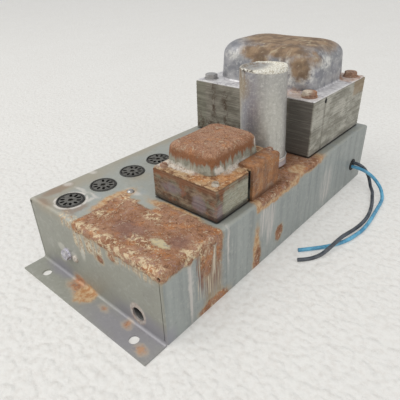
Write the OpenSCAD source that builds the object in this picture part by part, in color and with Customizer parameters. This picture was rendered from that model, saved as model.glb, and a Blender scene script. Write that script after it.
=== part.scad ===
// Valve amplifier chassis: a folded steel box that carries two transformers, a can
// capacitor and four nine-pin valve sockets on its deck, with the wiring underneath.
// Millimetres. X runs across the chassis, +Y from the flanged end to the far end, +Z up.
// The origin is at the middle of the footprint, flange included, on the bench.

/* [Chassis] */
// Width of the chassis across X
chassis_w = 127; // [110:1:160]
// Length of the box along Y, without its flange
chassis_l = 269; // [255:1:340]
// Height of the deck above the bench
chassis_h = 52; // [48:1:75]
// Thickness of the sheet
sheet = 1.2; // [0.8:0.1:2]
// Outside radius of the folds along the deck
fold_r = 2.6; // [2.2:0.1:4]
// Depth of the foot flange at the near end
flange_d = 17; // [14:1:26]
// Distance between the two flange holes
flange_hole_pitch = 92; // [70:1:100]
// Diameter of the flange holes
flange_hole_d = 6.4; // [4:0.2:7]

/* [Front panel] */
// Diameter of the round panel hole
panel_hole_d = 9.8; // [6:0.2:12]
// Height of the round panel hole
panel_hole_z = 10; // [8:0.5:12]
// Distance of the panel screw from the left wall
panel_screw_in = 36; // [30:1:45]

/* [Valve sockets] */
// Distance between neighbouring sockets
socket_pitch = 27; // [25:0.5:28]
// Diameter of a socket body
socket_d = 18.8; // [18:0.2:21]
// Circle on which the nine contacts stand
pin_circle_d = 11.9; // [11:0.1:12.5]
// Distance of the socket row from the left wall
socket_in = 26.5; // [22:0.5:29]
// Distance of the first socket from the front panel
socket_first = 15.2; // [14:0.2:18]

/* [Power transformer] */
// Core size along X
power_w = 114; // [104:1:120]
// Core size along Y
power_d = 94; // [90:1:98]
// Height of the lamination stack
power_stack = 42.5; // [34:0.5:52]
// Centre of the core from the far wall
power_from_rear = 53; // [50:1:60]
// Height of the end bell
power_bell_h = 33.5; // [28:0.5:36]
// Strip of flange beside the end bell, left and right
power_strip_side = 11.5; // [11:0.5:15]
// Strip of flange in front of and behind the end bell
power_strip_end = 13.5; // [12:0.5:16]

/* [Output transformer] */
// Core size along X
output_w = 52.4; // [48:0.2:56]
// Core size along Y
output_d = 68; // [64:0.5:72]
// Height of the lamination stack
output_stack = 20.3; // [16:0.1:26]
// Height of the end bell
output_bell_h = 16.4; // [12:0.2:17]
// Strip of flange to the right of the end bell
output_strip_right = 10.5; // [10:0.1:16]
// Strip of flange at the near side of the end bell
output_strip_near = 9; // [9:0.1:13]

/* [Can capacitor] */
// Diameter of the can
can_d = 33.4; // [28:0.1:36]
// Height of the can above the deck
can_h = 71; // [50:1:100]
// Sideways lean of the can, in degrees
can_lean = 3.1; // [0:0.1:3.5]

/* [Wires] */
// Diameter of the two mains wires
wire_d = 3; // [2.6:0.1:3.2]
// Diameter of the wire hole in the right wall
wire_hole_d = 9; // [8.6:0.1:11]
// Height of the wire hole
wire_hole_z = 19.6; // [19:0.2:20]

/* [Hidden] */

// Facets of the round pieces, and of the balls that round the bells
$fn = 48;
ball_fn = 32;
eps = 0.01;

// The box in the row's frame: the flange tip and the far wall are equally far from 0.
front_y = flange_d - (chassis_l + flange_d) / 2;
rear_y = front_y + chassis_l;
right_x = chassis_w / 2;
left_x = -right_x;
deck_top = chassis_h;
deck_under = chassis_h - sheet;
wall_in_r = fold_r - sheet;

// Foot flange
foot_bend_r = 2;
flange_hole_y = front_y - 9.3;
seam_gap = 0.5;
relief_r = 1.3;
relief_drop = 3;

// Front panel
panel_hole_x = right_x - 23;
panel_screw_x = left_x + panel_screw_in;
panel_screw_z = 21.4;
panel_rivet_x = panel_screw_x + 9;
screw_r = 1.9;
fit_gap = 0.3;

// Sockets
socket_x = left_x + socket_in;
socket_ys = [for (i = [0:3]) front_y + socket_first + i * socket_pitch];
socket_hole_r = socket_d / 2 + 0.2;
socket_rim = 0.7;
socket_depth = 12;
pin_count = 9;
pin_step = 36;
pin_hole_r = 1.05;
contact_r = 0.9;
tail_w = 1.6;
tail_l = 7;
spigot_r = 1.6;
ring_t = 0.8;
ring_r = socket_d / 2 + 2.2;
socket_bottom = deck_top + socket_rim - socket_depth;
tail_bottom = socket_bottom - tail_l;

// Power transformer
power_x = -1.5;
power_y = rear_y - power_from_rear;
power_foot = 1;
// The lower bells' flanges stand in from the stacks, which leaves a gap along each foot
foot_in = 3;
power_plate = 1.2;
power_z0 = deck_top + power_foot;
power_z1 = power_z0 + power_stack;
power_top = power_z1 + power_plate;
power_bolt_in = 9.5;
power_bolt_r = 2.3;
power_tongue = power_w / 3;
power_leg = power_tongue / 2;
power_bell_t = 1.1;
power_bell_corner = 14;
power_bell_edge = 11;
power_bell_w = power_w - 2 * power_strip_side;
power_bell_d = power_d - 2 * power_strip_end;
power_build = 17.5;
washer_t = 1;
washer_r = 6.2;
bolt_head_h = 3.4;
bolt_flats = 9.5;
nut_h = 3.4;

// Output transformer
output_x1 = right_x - 6.9;
output_y0 = front_y + 53.9;
output_x = output_x1 - output_w / 2;
output_y = output_y0 + output_d / 2;
output_foot = 1;
output_plate = 1.2;
output_z0 = deck_top + output_foot;
output_z1 = output_z0 + output_stack;
output_top = output_z1 + output_plate;
output_leg = 10.6;
output_bolt_in = 5;
output_bell_t = 0.9;
output_bell_corner = 6;
output_bell_edge = 5;
output_strip_left = 1.7;
output_strip_far = 7.9;
output_bell_w = output_w - output_strip_left - output_strip_right;
output_bell_d = output_d - output_strip_near - output_strip_far;
output_bell_x = output_x1 - output_strip_right - output_bell_w / 2;
output_bell_y = output_y0 + output_strip_near + output_bell_d / 2;
output_build = 9;
output_screw_r = 1.6;
output_head_r = 2.6;
output_head_h = 1.7;
output_nut_h = 2.4;
output_nut_flats = 5.5;
notch_w = 2.8;
notch_depth = 2.6;
clamp_t = 1.8;
clamp_y0 = output_y0 + 34.2;
clamp_y1 = output_y0 + 65;
clamp_lip = 9.6;
coil_gap = 0.3;
former_t = 1.2;

// Can capacitor
can_x = right_x - 32.5;
can_y = output_y0 + output_d + 20.6;
can_r = can_d / 2;
can_wall = 0.6;
can_edge_r = 1.4;
can_ring_r = can_r + 0.9;
can_ring_h = 6.5;
can_disc_t = 2;
can_disc_r = can_r - can_wall;
can_wafer_t = 1.5;
can_wafer_r = can_ring_r + 2;
can_hole_r = 12;
can_lug_h = 8;
can_lug_in = 6;
can_collar_t = 0.9;

// Wire exit in the right wall
exit_y = rear_y - 22.7;
grommet_lip_r = wire_hole_d / 2 + 0.9;
grommet_lip_t = 0.7;
grommet_r = wire_hole_d / 2 - 0.05;
wire_r = wire_d / 2;
inner_x = right_x - sheet - grommet_lip_t;

// Tag strips: each hangs from a rivet on an angled foot.
rivet_head_r = 2.6;
rivet_head_h = 1.5;
rivet_r = 1.6;
front_rivet = [left_x + 49.3, socket_ys[1] + 5.6];
rear_rivet = [left_x + 55.5, can_y + 3.5];
strip_t = 1.6;
strip_h = 9;
strip_z = 33;
foot_t = 0.9;
foot_w = 8;
foot_l = 9;
tag_w = 2.4;
tag_t = 0.4;
tag_h = 13;
front_strip_l = 2 * socket_pitch + 14;
rear_strip_l = 46;
front_face_x = front_rivet[0] - foot_l / 2 - strip_t;
rear_face_x = rear_rivet[0] + foot_l / 2;
tag_side = 3.5;

// The two free wires: round-number points, from the grommet down to the bench.
blue_route = [
    [64, 119.2, 18.2], [68, 119.6, 18], [73, 120.8, 17], [78.5, 122.2, 14.8],
    [84, 122.6, 11.6], [89, 121.4, 8.2], [93.6, 118.2, 5.2], [97.2, 113, 3],
    [99.8, 106.6, 1.8], [101.2, 99, 1.6], [102.2, 90, 1.6], [103.2, 80, 1.6],
    [104.2, 70, 1.6], [104.9, 60, 1.6], [104.8, 50, 1.6], [103.4, 40.4, 1.6],
    [101.2, 30.6, 1.6], [97.4, 21.4, 1.6], [92.2, 12.8, 1.6], [86.4, 5.4, 1.6],
    [81.4, -0.4, 1.6], [78.4, -3.8, 1.6]];
black_route = [
    [64, 121.4, 21.2], [68, 121.9, 20.9], [71.6, 123.4, 19], [74.4, 125.4, 16],
    [76.6, 126.8, 12.4], [79, 126.8, 8.6], [81.4, 124.6, 5.4], [84.2, 120.2, 3.2],
    [88.4, 114, 1.8], [91.8, 105, 1.6], [95.2, 95.5, 1.6], [98, 85.5, 1.6],
    [100, 75.5, 1.6], [100.9, 65.5, 1.6], [100.6, 55.5, 1.7], [99.6, 45.5, 2.2],
    [98.6, 36, 3.6], [97.8, 27, 4.9], [97.2, 18, 5.2], [96.2, 9.6, 4.2],
    [94.2, 1.6, 2.4], [91, -5.2, 1.7], [86.8, -10.8, 1.6], [83.4, -14, 1.6]];

// ---------------------------------------------------------------- helpers

// A rectangle with round corners, exact arcs, about the origin.
module round_rect(w, d, r) {
    square([w - 2 * r, d], center = true);
    square([w, d - 2 * r], center = true);
    for (sx = [-1, 1], sy = [-1, 1])
        translate([sx * (w / 2 - r), sy * (d / 2 - r)]) circle(r);
}

module round_plate(w, d, r, t) {
    linear_extrude(t) round_rect(w, d, r);
}

// An upright wall outline from z = 0 to h whose two upper corners are round.
module arch(w, h, r) {
    translate([-w / 2, 0]) square([w, h - r]);
    translate([-w / 2 + r, 0]) square([w - 2 * r, h]);
    for (s = [-1, 1]) translate([s * (w / 2 - r), h - r]) circle(r);
}

// A closed block over x -w/2..w/2 and y y0..y1 whose deck edges are folded round.
module folded_block(w, y0, y1, h, r) {
    intersection() {
        translate([0, y1, 0]) rotate([90, 0, 0]) linear_extrude(y1 - y0) arch(w, h, r);
        translate([-w / 2 - 1, (y0 + y1) / 2, 0])
            rotate([90, 0, 90]) linear_extrude(w + 2) arch(y1 - y0, h, r);
    }
}

// A rounded dome standing on z = 0: upright sides and a soft upper edge.
module dome(w, d, h, corner, edge) {
    hull() {
        for (sx = [-1, 1], sy = [-1, 1]) {
            translate([sx * (w / 2 - corner), sy * (d / 2 - corner), 0])
                cylinder(r = corner, h = h - edge, $fn = ball_fn);
            translate([sx * (w / 2 - corner), sy * (d / 2 - corner), h - edge])
                scale([corner / edge, corner / edge, 1]) sphere(edge, $fn = ball_fn);
        }
    }
}

// A pressed end bell on z = 0: flange plate, hollow dome and four bolt holes.
module end_bell(flange, plate, bell, offset, h, t, corner, edge, bolt_at, hole_r) {
    difference() {
        union() {
            round_plate(flange[0], flange[1], 1, plate);
            translate([offset[0], offset[1], 0]) dome(bell[0], bell[1], h, corner, edge);
        }
        translate([offset[0], offset[1], -t])
            dome(bell[0] - 2 * t, bell[1] - 2 * t, h, corner - t, edge - t);
        for (p = bolt_at) translate([p[0], p[1], -1]) cylinder(r = hole_r, h = plate + 2);
    }
}

// Hexagonal prism across flats f.
module hex(f, h) {
    cylinder(d = f / cos(30), h = h, $fn = 6);
}

function corners(w, d, inset) = [for (sx = [-1, 1], sy = [-1, 1])
    [sx * (w / 2 - inset), sy * (d / 2 - inset)]];

// Tube along a list of points: one ring of side_count corners at each point.
function unit(v) = v / max(norm(v), 1e-9);
function along(pts, i) = unit(pts[min(i + 1, len(pts) - 1)] - pts[max(i - 1, 0)]);
function across(d) = abs(d[2]) > 0.9 ? unit(cross(d, [0, 1, 0])) : unit(cross(d, [0, 0, 1]));

module tube(pts, r, side_count = 8) {
    n = len(pts);
    rings = [for (i = [0:n - 1], k = [0:side_count - 1])
        let (d = along(pts, i), u = across(d), v = cross(d, u), a = 360 * (k + 0.5) / side_count)
            pts[i] + r * (cos(a) * u + sin(a) * v)];
    walls = [for (i = [0:n - 2], k = [0:side_count - 1])
        let (a = i * side_count + k, b = i * side_count + (k + 1) % side_count)
            [a, b, b + side_count, a + side_count]];
    near_cap = [for (k = [side_count - 1:-1:0]) k];
    far_cap = [for (k = [0:side_count - 1]) (n - 1) * side_count + k];
    polyhedron(points = rings, faces = concat(walls, [near_cap], [far_cap]), convexity = 6);
}

// ---------------------------------------------------------------- chassis

// Outline in Y and Z of the foot flange with its bend into the front panel.
module foot_profile() {
    difference() {
        union() {
            translate([front_y - flange_d, 0]) square([flange_d + sheet, sheet]);
            translate([front_y, 0]) square([sheet, foot_bend_r + sheet + 1]);
            translate([front_y - foot_bend_r, sheet]) square([foot_bend_r + eps, foot_bend_r]);
        }
        translate([front_y - foot_bend_r, sheet + foot_bend_r]) circle(foot_bend_r);
        translate([front_y + eps, -eps]) square([sheet, sheet]);
    }
    intersection() {
        translate([front_y - foot_bend_r, sheet + foot_bend_r]) circle(foot_bend_r + sheet);
        translate([front_y - eps, 0]) square([sheet + eps, sheet + eps]);
    }
}

module deck_holes() {
    through = sheet + 2;
    for (y = socket_ys)
        translate([socket_x, y, deck_under - 1]) cylinder(r = socket_hole_r, h = through);
    translate([power_x, power_y, deck_under - 1])
        round_plate(power_bell_w + 1, power_bell_d + 1, power_bell_corner, through);
    translate([output_bell_x, output_bell_y, deck_under - 1])
        round_plate(output_bell_w + 1, output_bell_d + 1, output_bell_corner, through);
    for (p = corners(power_w, power_d, power_bolt_in))
        translate([power_x + p[0], power_y + p[1], deck_under - 1])
            cylinder(r = power_bolt_r + fit_gap, h = through);
    for (p = corners(output_w, output_d, output_bolt_in))
        translate([output_x + p[0], output_y + p[1], deck_under - 1])
            cylinder(r = output_screw_r + fit_gap, h = through);
    translate([can_x, can_y, deck_under - 1]) cylinder(r = can_hole_r, h = through);
    for (p = [front_rivet, rear_rivet])
        translate([p[0], p[1], deck_under - 1]) cylinder(r = rivet_r + 0.1, h = through);
}

module wall_holes() {
    through = sheet + 2;
    for (s = [-1, 1])
        translate([s * flange_hole_pitch / 2, flange_hole_y, -1])
            cylinder(d = flange_hole_d, h = through);
    translate([panel_hole_x, front_y + sheet + 1, panel_hole_z])
        rotate([90, 0, 0]) cylinder(d = panel_hole_d, h = through);
    translate([panel_screw_x, front_y + sheet + 1, panel_screw_z])
        rotate([90, 0, 0]) cylinder(r = screw_r + fit_gap, h = through);
    translate([panel_rivet_x, front_y + sheet + 1, panel_screw_z])
        rotate([90, 0, 0]) cylinder(r = rivet_r + 0.1, h = through);
    translate([right_x - sheet - 1, exit_y, wire_hole_z])
        rotate([0, 90, 0]) cylinder(d = wire_hole_d, h = through);
}

// Open seams up the four upright corners, each ending in a round relief hole.
module corner_seams() {
    for (s = [-1, 1], y = [front_y - 1, rear_y - sheet - 1]) {
        translate([s * (right_x - sheet - seam_gap / 2) - seam_gap / 2, y, sheet + foot_bend_r])
            cube([seam_gap, sheet + 2, deck_top - relief_drop - sheet - foot_bend_r]);
        translate([s * (right_x - sheet - seam_gap / 2), y + sheet + 2, deck_top - relief_drop])
            rotate([90, 0, 0]) cylinder(r = relief_r, h = sheet + 2);
    }
}

module chassis() {
    color("darkseagreen") difference() {
        union() {
            difference() {
                folded_block(chassis_w, front_y, rear_y, chassis_h, fold_r);
                translate([0, 0, -eps])
                    folded_block(chassis_w - 2 * sheet, front_y + sheet, rear_y - sheet,
                        deck_under + eps, wall_in_r);
                translate([-right_x - 1, front_y - 1, -1])
                    cube([chassis_w + 2, sheet + 1 + eps, sheet + foot_bend_r + 1]);
            }
            translate([-right_x, 0, 0])
                rotate([90, 0, 90]) linear_extrude(chassis_w) foot_profile();
        }
        deck_holes();
        wall_holes();
        corner_seams();
    }
}

// ---------------------------------------------------------------- sockets

// Nine places on the pin circle; the gap in the ten-step circle faces the left wall.
function pin_at(k) = pin_circle_d / 2 * [cos(180 + pin_step * (k + 1)), sin(180 + pin_step * (k + 1))];

module socket_body() {
    difference() {
        union() {
            translate([0, 0, socket_bottom]) cylinder(d = socket_d, h = socket_depth);
            translate([0, 0, deck_under - ring_t - 2.2]) cylinder(r = ring_r, h = 2.2);
        }
        translate([0, 0, deck_top + 0.1]) cylinder(d = socket_d - 2.6, h = socket_rim);
        translate([0, 0, socket_bottom - 1]) cylinder(r = spigot_r + 0.1, h = socket_depth + 2);
        for (k = [0:pin_count - 1])
            translate([pin_at(k)[0], pin_at(k)[1], socket_bottom - 1])
                cylinder(r = pin_hole_r, h = socket_depth + 2);
    }
}

module tube_socket(i) {
    color("dimgray") translate([socket_x, socket_ys[i], 0]) socket_body();
}

// Spring contacts, open at the top, each with a square solder tail, and the screen spigot.
module socket_contacts(i) {
    color("silver") translate([socket_x, socket_ys[i], 0]) {
        for (k = [0:pin_count - 1])
            translate([pin_at(k)[0], pin_at(k)[1], 0]) {
                difference() {
                    translate([0, 0, socket_bottom]) cylinder(r = contact_r, h = socket_depth - 3);
                    translate([0, 0, socket_bottom + 2]) cylinder(r = 0.55, h = socket_depth);
                }
                translate([-tail_w / 2, -tail_w / 2, tail_bottom]) cube([tail_w, tail_w, tail_l]);
            }
        difference() {
            translate([0, 0, socket_bottom - 3]) cylinder(r = spigot_r, h = socket_depth + 1.6);
            translate([0, 0, socket_bottom]) cylinder(r = 1, h = socket_depth);
        }
        translate([0, 0, socket_bottom - 3]) cylinder(r = spigot_r + 0.6, h = 3);
    }
}

// Steel rings that hold the sockets up against the deck.
module socket_rings() {
    color("silver") for (y = socket_ys)
        translate([socket_x, y, deck_under - ring_t]) difference() {
            cylinder(r = ring_r, h = ring_t);
            translate([0, 0, -1]) cylinder(r = socket_hole_r, h = ring_t + 2);
        }
}

// ---------------------------------------------------------------- power transformer

power_bolt_at = corners(power_w, power_d, power_bolt_in);
power_window_l = power_d - 2 * power_leg;
power_window_w = (power_w - power_tongue) / 2 - power_leg;
power_window_x = (power_tongue + power_window_w) / 2;

module power_core() {
    color("gray") translate([power_x, power_y, power_z0]) difference() {
        round_plate(power_w, power_d, 0.6, power_stack);
        for (s = [-1, 1])
            translate([s * power_window_x - power_window_w / 2, -power_window_l / 2, -1])
                cube([power_window_w, power_window_l, power_stack + 2]);
        for (p = power_bolt_at)
            translate([p[0], p[1], -1]) cylinder(r = power_bolt_r + fit_gap, h = power_stack + 2);
    }
}

module power_bell() {
    end_bell([power_w - 0.8, power_d - 0.8], power_plate, [power_bell_w, power_bell_d], [0, 0],
        power_bell_h, power_bell_t, power_bell_corner, power_bell_edge,
        power_bolt_at, power_bolt_r + fit_gap);
}

module power_bell_top() {
    color("lightslategray") translate([power_x, power_y, power_z1]) power_bell();
}

module power_bell_bottom() {
    color("lightslategray") translate([power_x, power_y, power_z0]) mirror([0, 0, 1])
        end_bell([power_w - 2 * foot_in, power_d - 2 * foot_in], power_foot,
            [power_bell_w, power_bell_d], [0, 0], power_bell_h, power_bell_t,
            power_bell_corner, power_bell_edge, power_bolt_at, power_bolt_r + fit_gap);
}

power_mid_z = (power_z0 + power_z1) / 2;
power_former_l = power_window_l - 2 * coil_gap;
power_former_in = [power_tongue + 2 * coil_gap, power_stack + 2 * coil_gap];
power_former_out = power_former_in + 2 * [former_t, former_t];
power_coil_out = [power_tongue + 2 * power_window_w - 2 * coil_gap, power_stack + 2 * power_build];

module ring_block(outer, inner, corner, l) {
    rotate([90, 0, 0]) linear_extrude(l, center = true) difference() {
        round_rect(outer[0], outer[1], corner);
        square(inner, center = true);
    }
}

module power_bobbin() {
    color("tan") translate([power_x, power_y, power_mid_z]) {
        ring_block(power_former_out, power_former_in, 0.5, power_former_l);
        for (s = [-1, 1])
            translate([0, s * (power_former_l - former_t) / 2, 0])
                ring_block(power_coil_out, power_former_out - [eps, eps], 6, former_t);
    }
}

module power_coil() {
    color("sienna") translate([power_x, power_y, power_mid_z])
        ring_block(power_coil_out - [1, 1], power_former_out, 5.5, power_former_l - 2 * former_t);
}

power_head_z = power_top + washer_t;
power_nut_z = deck_under - nut_h;

module power_bolts() {
    color("silver") for (p = power_bolt_at)
        translate([power_x + p[0], power_y + p[1], 0]) {
            translate([0, 0, power_head_z]) hex(bolt_flats, bolt_head_h);
            translate([0, 0, power_nut_z - 1.5])
                cylinder(r = power_bolt_r, h = power_head_z - power_nut_z + 1.5);
        }
}

module power_washers() {
    color("silver") for (p = power_bolt_at)
        translate([power_x + p[0], power_y + p[1], power_top]) difference() {
            cylinder(r = washer_r, h = washer_t);
            translate([0, 0, -1]) cylinder(r = power_bolt_r + 0.2, h = washer_t + 2);
        }
}

module power_nuts() {
    color("silver") for (p = power_bolt_at)
        translate([power_x + p[0], power_y + p[1], power_nut_z]) difference() {
            hex(bolt_flats, nut_h);
            translate([0, 0, -1]) cylinder(r = power_bolt_r + 0.05, h = nut_h + 2);
        }
}

// ---------------------------------------------------------------- output transformer

output_bolt_at = corners(output_w, output_d, output_bolt_in);
output_tongue = 22;
output_window_w = 11.2;
output_window_y = (output_tongue + output_window_w) / 2;
output_window_l = output_w - 2 * output_leg;
output_bell_at = [output_bell_x - output_x, output_bell_y - output_y];
output_coil_x0 = coil_gap - output_window_l / 2;
output_coil_x1 = output_bell_at[0] + output_bell_w / 2 - output_bell_t - 3.2;
output_coil_x = (output_coil_x0 + output_coil_x1) / 2;

// Upright groove beside the clamp, through the plate and the stack.
module clamp_groove(h) {
    translate([output_w / 2 - notch_depth, clamp_y0 - notch_w - output_y, -1])
        cube([notch_depth + 1, notch_w, h + 2]);
}

module output_core() {
    color("saddlebrown") translate([output_x, output_y, output_z0]) difference() {
        round_plate(output_w, output_d, 0.5, output_stack);
        for (s = [-1, 1])
            translate([-output_window_l / 2, s * output_window_y - output_window_w / 2, -1])
                cube([output_window_l, output_window_w, output_stack + 2]);
        for (p = output_bolt_at)
            translate([p[0], p[1], -1]) cylinder(r = output_screw_r + fit_gap, h = output_stack + 2);
        clamp_groove(output_stack);
    }
}

module output_bell(flange, plate) {
    end_bell(flange, plate, [output_bell_w, output_bell_d], output_bell_at, output_bell_h,
        output_bell_t, output_bell_corner, output_bell_edge,
        output_bolt_at, output_screw_r + fit_gap);
}

module output_bell_top() {
    color("sienna") translate([output_x, output_y, output_z1]) difference() {
        output_bell([output_w, output_d], output_plate);
        clamp_groove(output_plate);
    }
}

module output_bell_bottom() {
    color("sienna") translate([output_x, output_y, output_z0]) mirror([0, 0, 1])
        output_bell([output_w - foot_in, output_d - foot_in], output_foot);
}

output_mid_z = (output_z0 + output_z1) / 2;
output_former_l = output_coil_x1 - output_coil_x0;
output_former_in = [output_tongue + 2 * coil_gap, output_stack + 2 * coil_gap];
output_former_out = output_former_in + 2 * [former_t, former_t];
output_coil_out = [output_tongue + 2 * output_window_w - 2 * coil_gap, output_stack + 2 * output_build];

// The output coil lies across the power coil's direction: its axis runs along X.
module output_bobbin() {
    color("tan") translate([output_x, output_y, output_mid_z]) rotate([0, 0, 90]) {
        translate([0, -output_coil_x, 0])
            ring_block(output_former_out, output_former_in, 0.5, output_former_l);
        for (s = [-1, 1])
            translate([0, s * (output_former_l - former_t) / 2 - output_coil_x, 0])
                ring_block(output_coil_out, output_former_out - [eps, eps], 3, former_t);
    }
}

module output_coil() {
    color("sienna") translate([output_x + output_coil_x, output_y, output_mid_z])
        rotate([0, 0, 90])
            ring_block(output_coil_out - [1, 1], output_former_out, 3,
                output_former_l - 2 * former_t);
}

// Bent strap on the far half of the right side, its lip held by one of the screws.
module output_clamp() {
    l = clamp_y1 - clamp_y0;
    lip_z = output_top - deck_top;
    color("peru") difference() {
        translate([output_x1, clamp_y1, deck_top]) rotate([90, 0, 0]) linear_extrude(l)
            difference() {
                union() {
                    square([clamp_t, lip_z]);
                    translate([-clamp_lip, lip_z]) square([clamp_lip, clamp_t]);
                    translate([0, lip_z]) intersection() {
                        circle(clamp_t);
                        square(clamp_t);
                    }
                }
            }
        translate([output_x + output_bolt_at[3][0], output_y + output_bolt_at[3][1], output_top - 1])
            cylinder(r = output_screw_r + fit_gap, h = clamp_t + 2);
    }
}

// The screw through the clamp's lip stands on it, the other three on the bell's flange.
function output_seat(i) = i == 3 ? output_top + clamp_t : output_top;
output_nut_z = deck_under - output_nut_h;

module output_screws() {
    color("peru") for (i = [0:3])
        translate([output_x + output_bolt_at[i][0], output_y + output_bolt_at[i][1], 0]) {
            translate([0, 0, output_seat(i)]) difference() {
                cylinder(r1 = output_head_r, r2 = output_head_r - 0.5, h = output_head_h);
                translate([-output_head_r, -0.4, output_head_h - 0.8])
                    cube([2 * output_head_r, 0.8, 1]);
            }
            translate([0, 0, output_nut_z - 1.2])
                cylinder(r = output_screw_r, h = output_seat(i) - output_nut_z + 1.2);
        }
}

module output_nuts() {
    color("silver") for (p = output_bolt_at)
        translate([output_x + p[0], output_y + p[1], output_nut_z]) difference() {
            hex(output_nut_flats, output_nut_h);
            translate([0, 0, -1]) cylinder(r = output_screw_r + 0.05, h = output_nut_h + 2);
        }
}

// ---------------------------------------------------------------- can capacitor

// Everything above the deck leans over together, about the foot of the can.
module leaning() {
    translate([can_x, can_y, deck_top]) rotate([0, -can_lean, 0]) children();
}

can_foot = can_ring_r * sin(can_lean);

module can_capacitor() {
    color("gainsboro") leaning() translate([0, 0, can_foot]) rotate_extrude() difference() {
        union() {
            square([can_r - can_edge_r, can_h]);
            square([can_r, can_h - can_edge_r]);
            translate([can_r - can_edge_r, can_h - can_edge_r]) circle(can_edge_r);
        }
        translate([-1, -1]) square([can_r - can_wall + 1, can_h - can_wall + 1]);
        translate([-1, can_h - can_wall]) square([can_r - 3, can_wall + 1]);
        translate([-can_r, -1]) square([can_r, can_h + 2]);
    }
    color("gainsboro") leaning()
        translate([0, 0, can_foot + can_h - 2 * can_wall]) cylinder(r = can_r - can_wall, h = can_wall);
}

module can_base_ring() {
    color("silver") leaning() translate([0, 0, can_foot]) rotate_extrude() difference() {
        union() {
            translate([can_r, 0]) square([can_ring_r - can_r, can_ring_h - 0.6]);
            translate([can_r, can_ring_h - 0.6]) square([can_ring_r - can_r - 0.4, 0.6]);
        }
    }
}

module can_winding() {
    color("lightsteelblue") leaning() translate([0, 0, can_foot + can_disc_t + can_collar_t])
        cylinder(r = can_r - can_wall - 0.8, h = can_h - can_disc_t - 5);
}

module can_base_disc() {
    color("saddlebrown") leaning() translate([0, 0, can_foot]) difference() {
        cylinder(r = can_disc_r, h = can_disc_t);
        for (a = [0:90:270])
            rotate(a) translate([can_lug_in, 0, -1]) cylinder(r = 1.1, h = can_disc_t + 2);
    }
}

// Fibre wafer under the deck that the can's tabs twist against.
module can_wafer() {
    color("saddlebrown") translate([can_x, can_y, deck_under - can_wafer_t]) difference() {
        cylinder(r = can_wafer_r, h = can_wafer_t);
        translate([0, 0, -1]) cylinder(r = can_hole_r, h = can_wafer_t + 2);
    }
}

// Four solder lugs through the base disc, hanging below the deck.
module can_lugs() {
    color("silver") leaning() for (a = [0:90:270]) rotate(a) translate([can_lug_in, 0, 0]) {
        translate([0, 0, can_foot - can_lug_h]) cylinder(r = 1, h = can_lug_h + can_disc_t + 0.2);
        translate([0, 0, can_foot + can_disc_t]) cylinder(r = 2, h = can_collar_t);
        translate([-1.6, -0.35, can_foot - can_lug_h - 6]) cube([3.2, 0.7, 6.4]);
    }
}

// ---------------------------------------------------------------- panel hardware

module panel_screw() {
    color("white") translate([panel_screw_x, front_y, panel_screw_z]) rotate([90, 0, 0]) {
        cylinder(r = 4.4, h = 0.8);
        translate([0, 0, 0.8]) hex(6.6, 2.3);
        translate([0, 0, -sheet - 5]) cylinder(r = screw_r, h = sheet + 5.2);
    }
}

module panel_nut() {
    color("silver") translate([panel_screw_x, front_y + sheet, panel_screw_z]) rotate([-90, 0, 0])
        difference() {
            hex(6.6, 2.8);
            translate([0, 0, -1]) cylinder(r = screw_r + 0.05, h = 5);
        }
}

module rivet(grip) {
    rotate_extrude() difference() {
        intersection() {
            translate([0, -1.4]) circle(rivet_head_r + 0.6);
            translate([0, 0]) square([rivet_head_r, rivet_head_h]);
        }
    }
    translate([0, 0, -grip - 0.2]) cylinder(r = rivet_r, h = grip + 0.4);
    translate([0, 0, -grip - 1]) cylinder(r = rivet_r + 0.7, h = 1);
}

module panel_rivet() {
    color("lightgray") translate([panel_rivet_x, front_y, panel_screw_z])
        rotate([90, 0, 0]) rivet(sheet);
}

module strip_rivets() {
    color("lightgray") for (p = [front_rivet, rear_rivet])
        translate([p[0], p[1], deck_top]) rivet(sheet + foot_t);
}

// ---------------------------------------------------------------- tag strips

// A fibre strip with its steel foot: side +1 puts the foot on the strip's +X side.
module tag_strip(rivet_at, l, side) {
    face = rivet_at[0] - side * foot_l / 2;
    translate([side > 0 ? face - strip_t : face, rivet_at[1] - l / 2, strip_z])
        cube([strip_t, l, strip_h]);
    translate([rivet_at[0] - foot_l / 2, rivet_at[1] - foot_w / 2, deck_under - foot_t])
        difference() {
            cube([foot_l, foot_w, foot_t]);
            translate([foot_l / 2, foot_w / 2, -1]) cylinder(r = rivet_r + 0.05, h = foot_t + 2);
        }
    translate([side > 0 ? face : face - foot_t, rivet_at[1] - foot_w / 2, strip_z + 1])
        cube([foot_t, foot_w, deck_under - strip_z - 1]);
}

// The tags stand on the strip's outer face.
module tags(face_x, ys, side) {
    for (y = ys)
        translate([side > 0 ? face_x - tag_t : face_x, y - tag_w / 2, strip_z - 2])
            cube([tag_t, tag_w, tag_h]);
}

front_tag_ys = [for (i = [0:2], o = [-tag_side, 0, tag_side]) socket_ys[i] + o];
rear_tag_ys = [for (k = [-2:2]) rear_rivet[1] + k * 9.2];

module front_tag_strip() {
    color("peru") tag_strip(front_rivet, front_strip_l, 1);
}

module front_tags() {
    color("silver") tags(front_face_x, front_tag_ys, 1);
}

module rear_tag_strip() {
    color("peru") tag_strip(rear_rivet, rear_strip_l, -1);
}

module rear_tags() {
    color("silver") tags(rear_face_x + strip_t, rear_tag_ys, -1);
}

// ---------------------------------------------------------------- small components

// A part with a round body between two upright faces at x0 and x1.
module axial(x0, x1, y, z, body_d) {
    mid = (x0 + x1) / 2;
    body_l = x1 - x0 - 2.4;
    translate([x0, y, z]) rotate([0, 90, 0]) {
        cylinder(r = 0.4, h = x1 - x0);
        cylinder(r = 0.9, h = 0.8);
        translate([0, 0, x1 - x0 - 0.8]) cylinder(r = 0.9, h = 0.8);
    }
    translate([mid - body_l / 2, y, z]) rotate([0, 90, 0]) cylinder(d = body_d, h = body_l);
}

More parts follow.
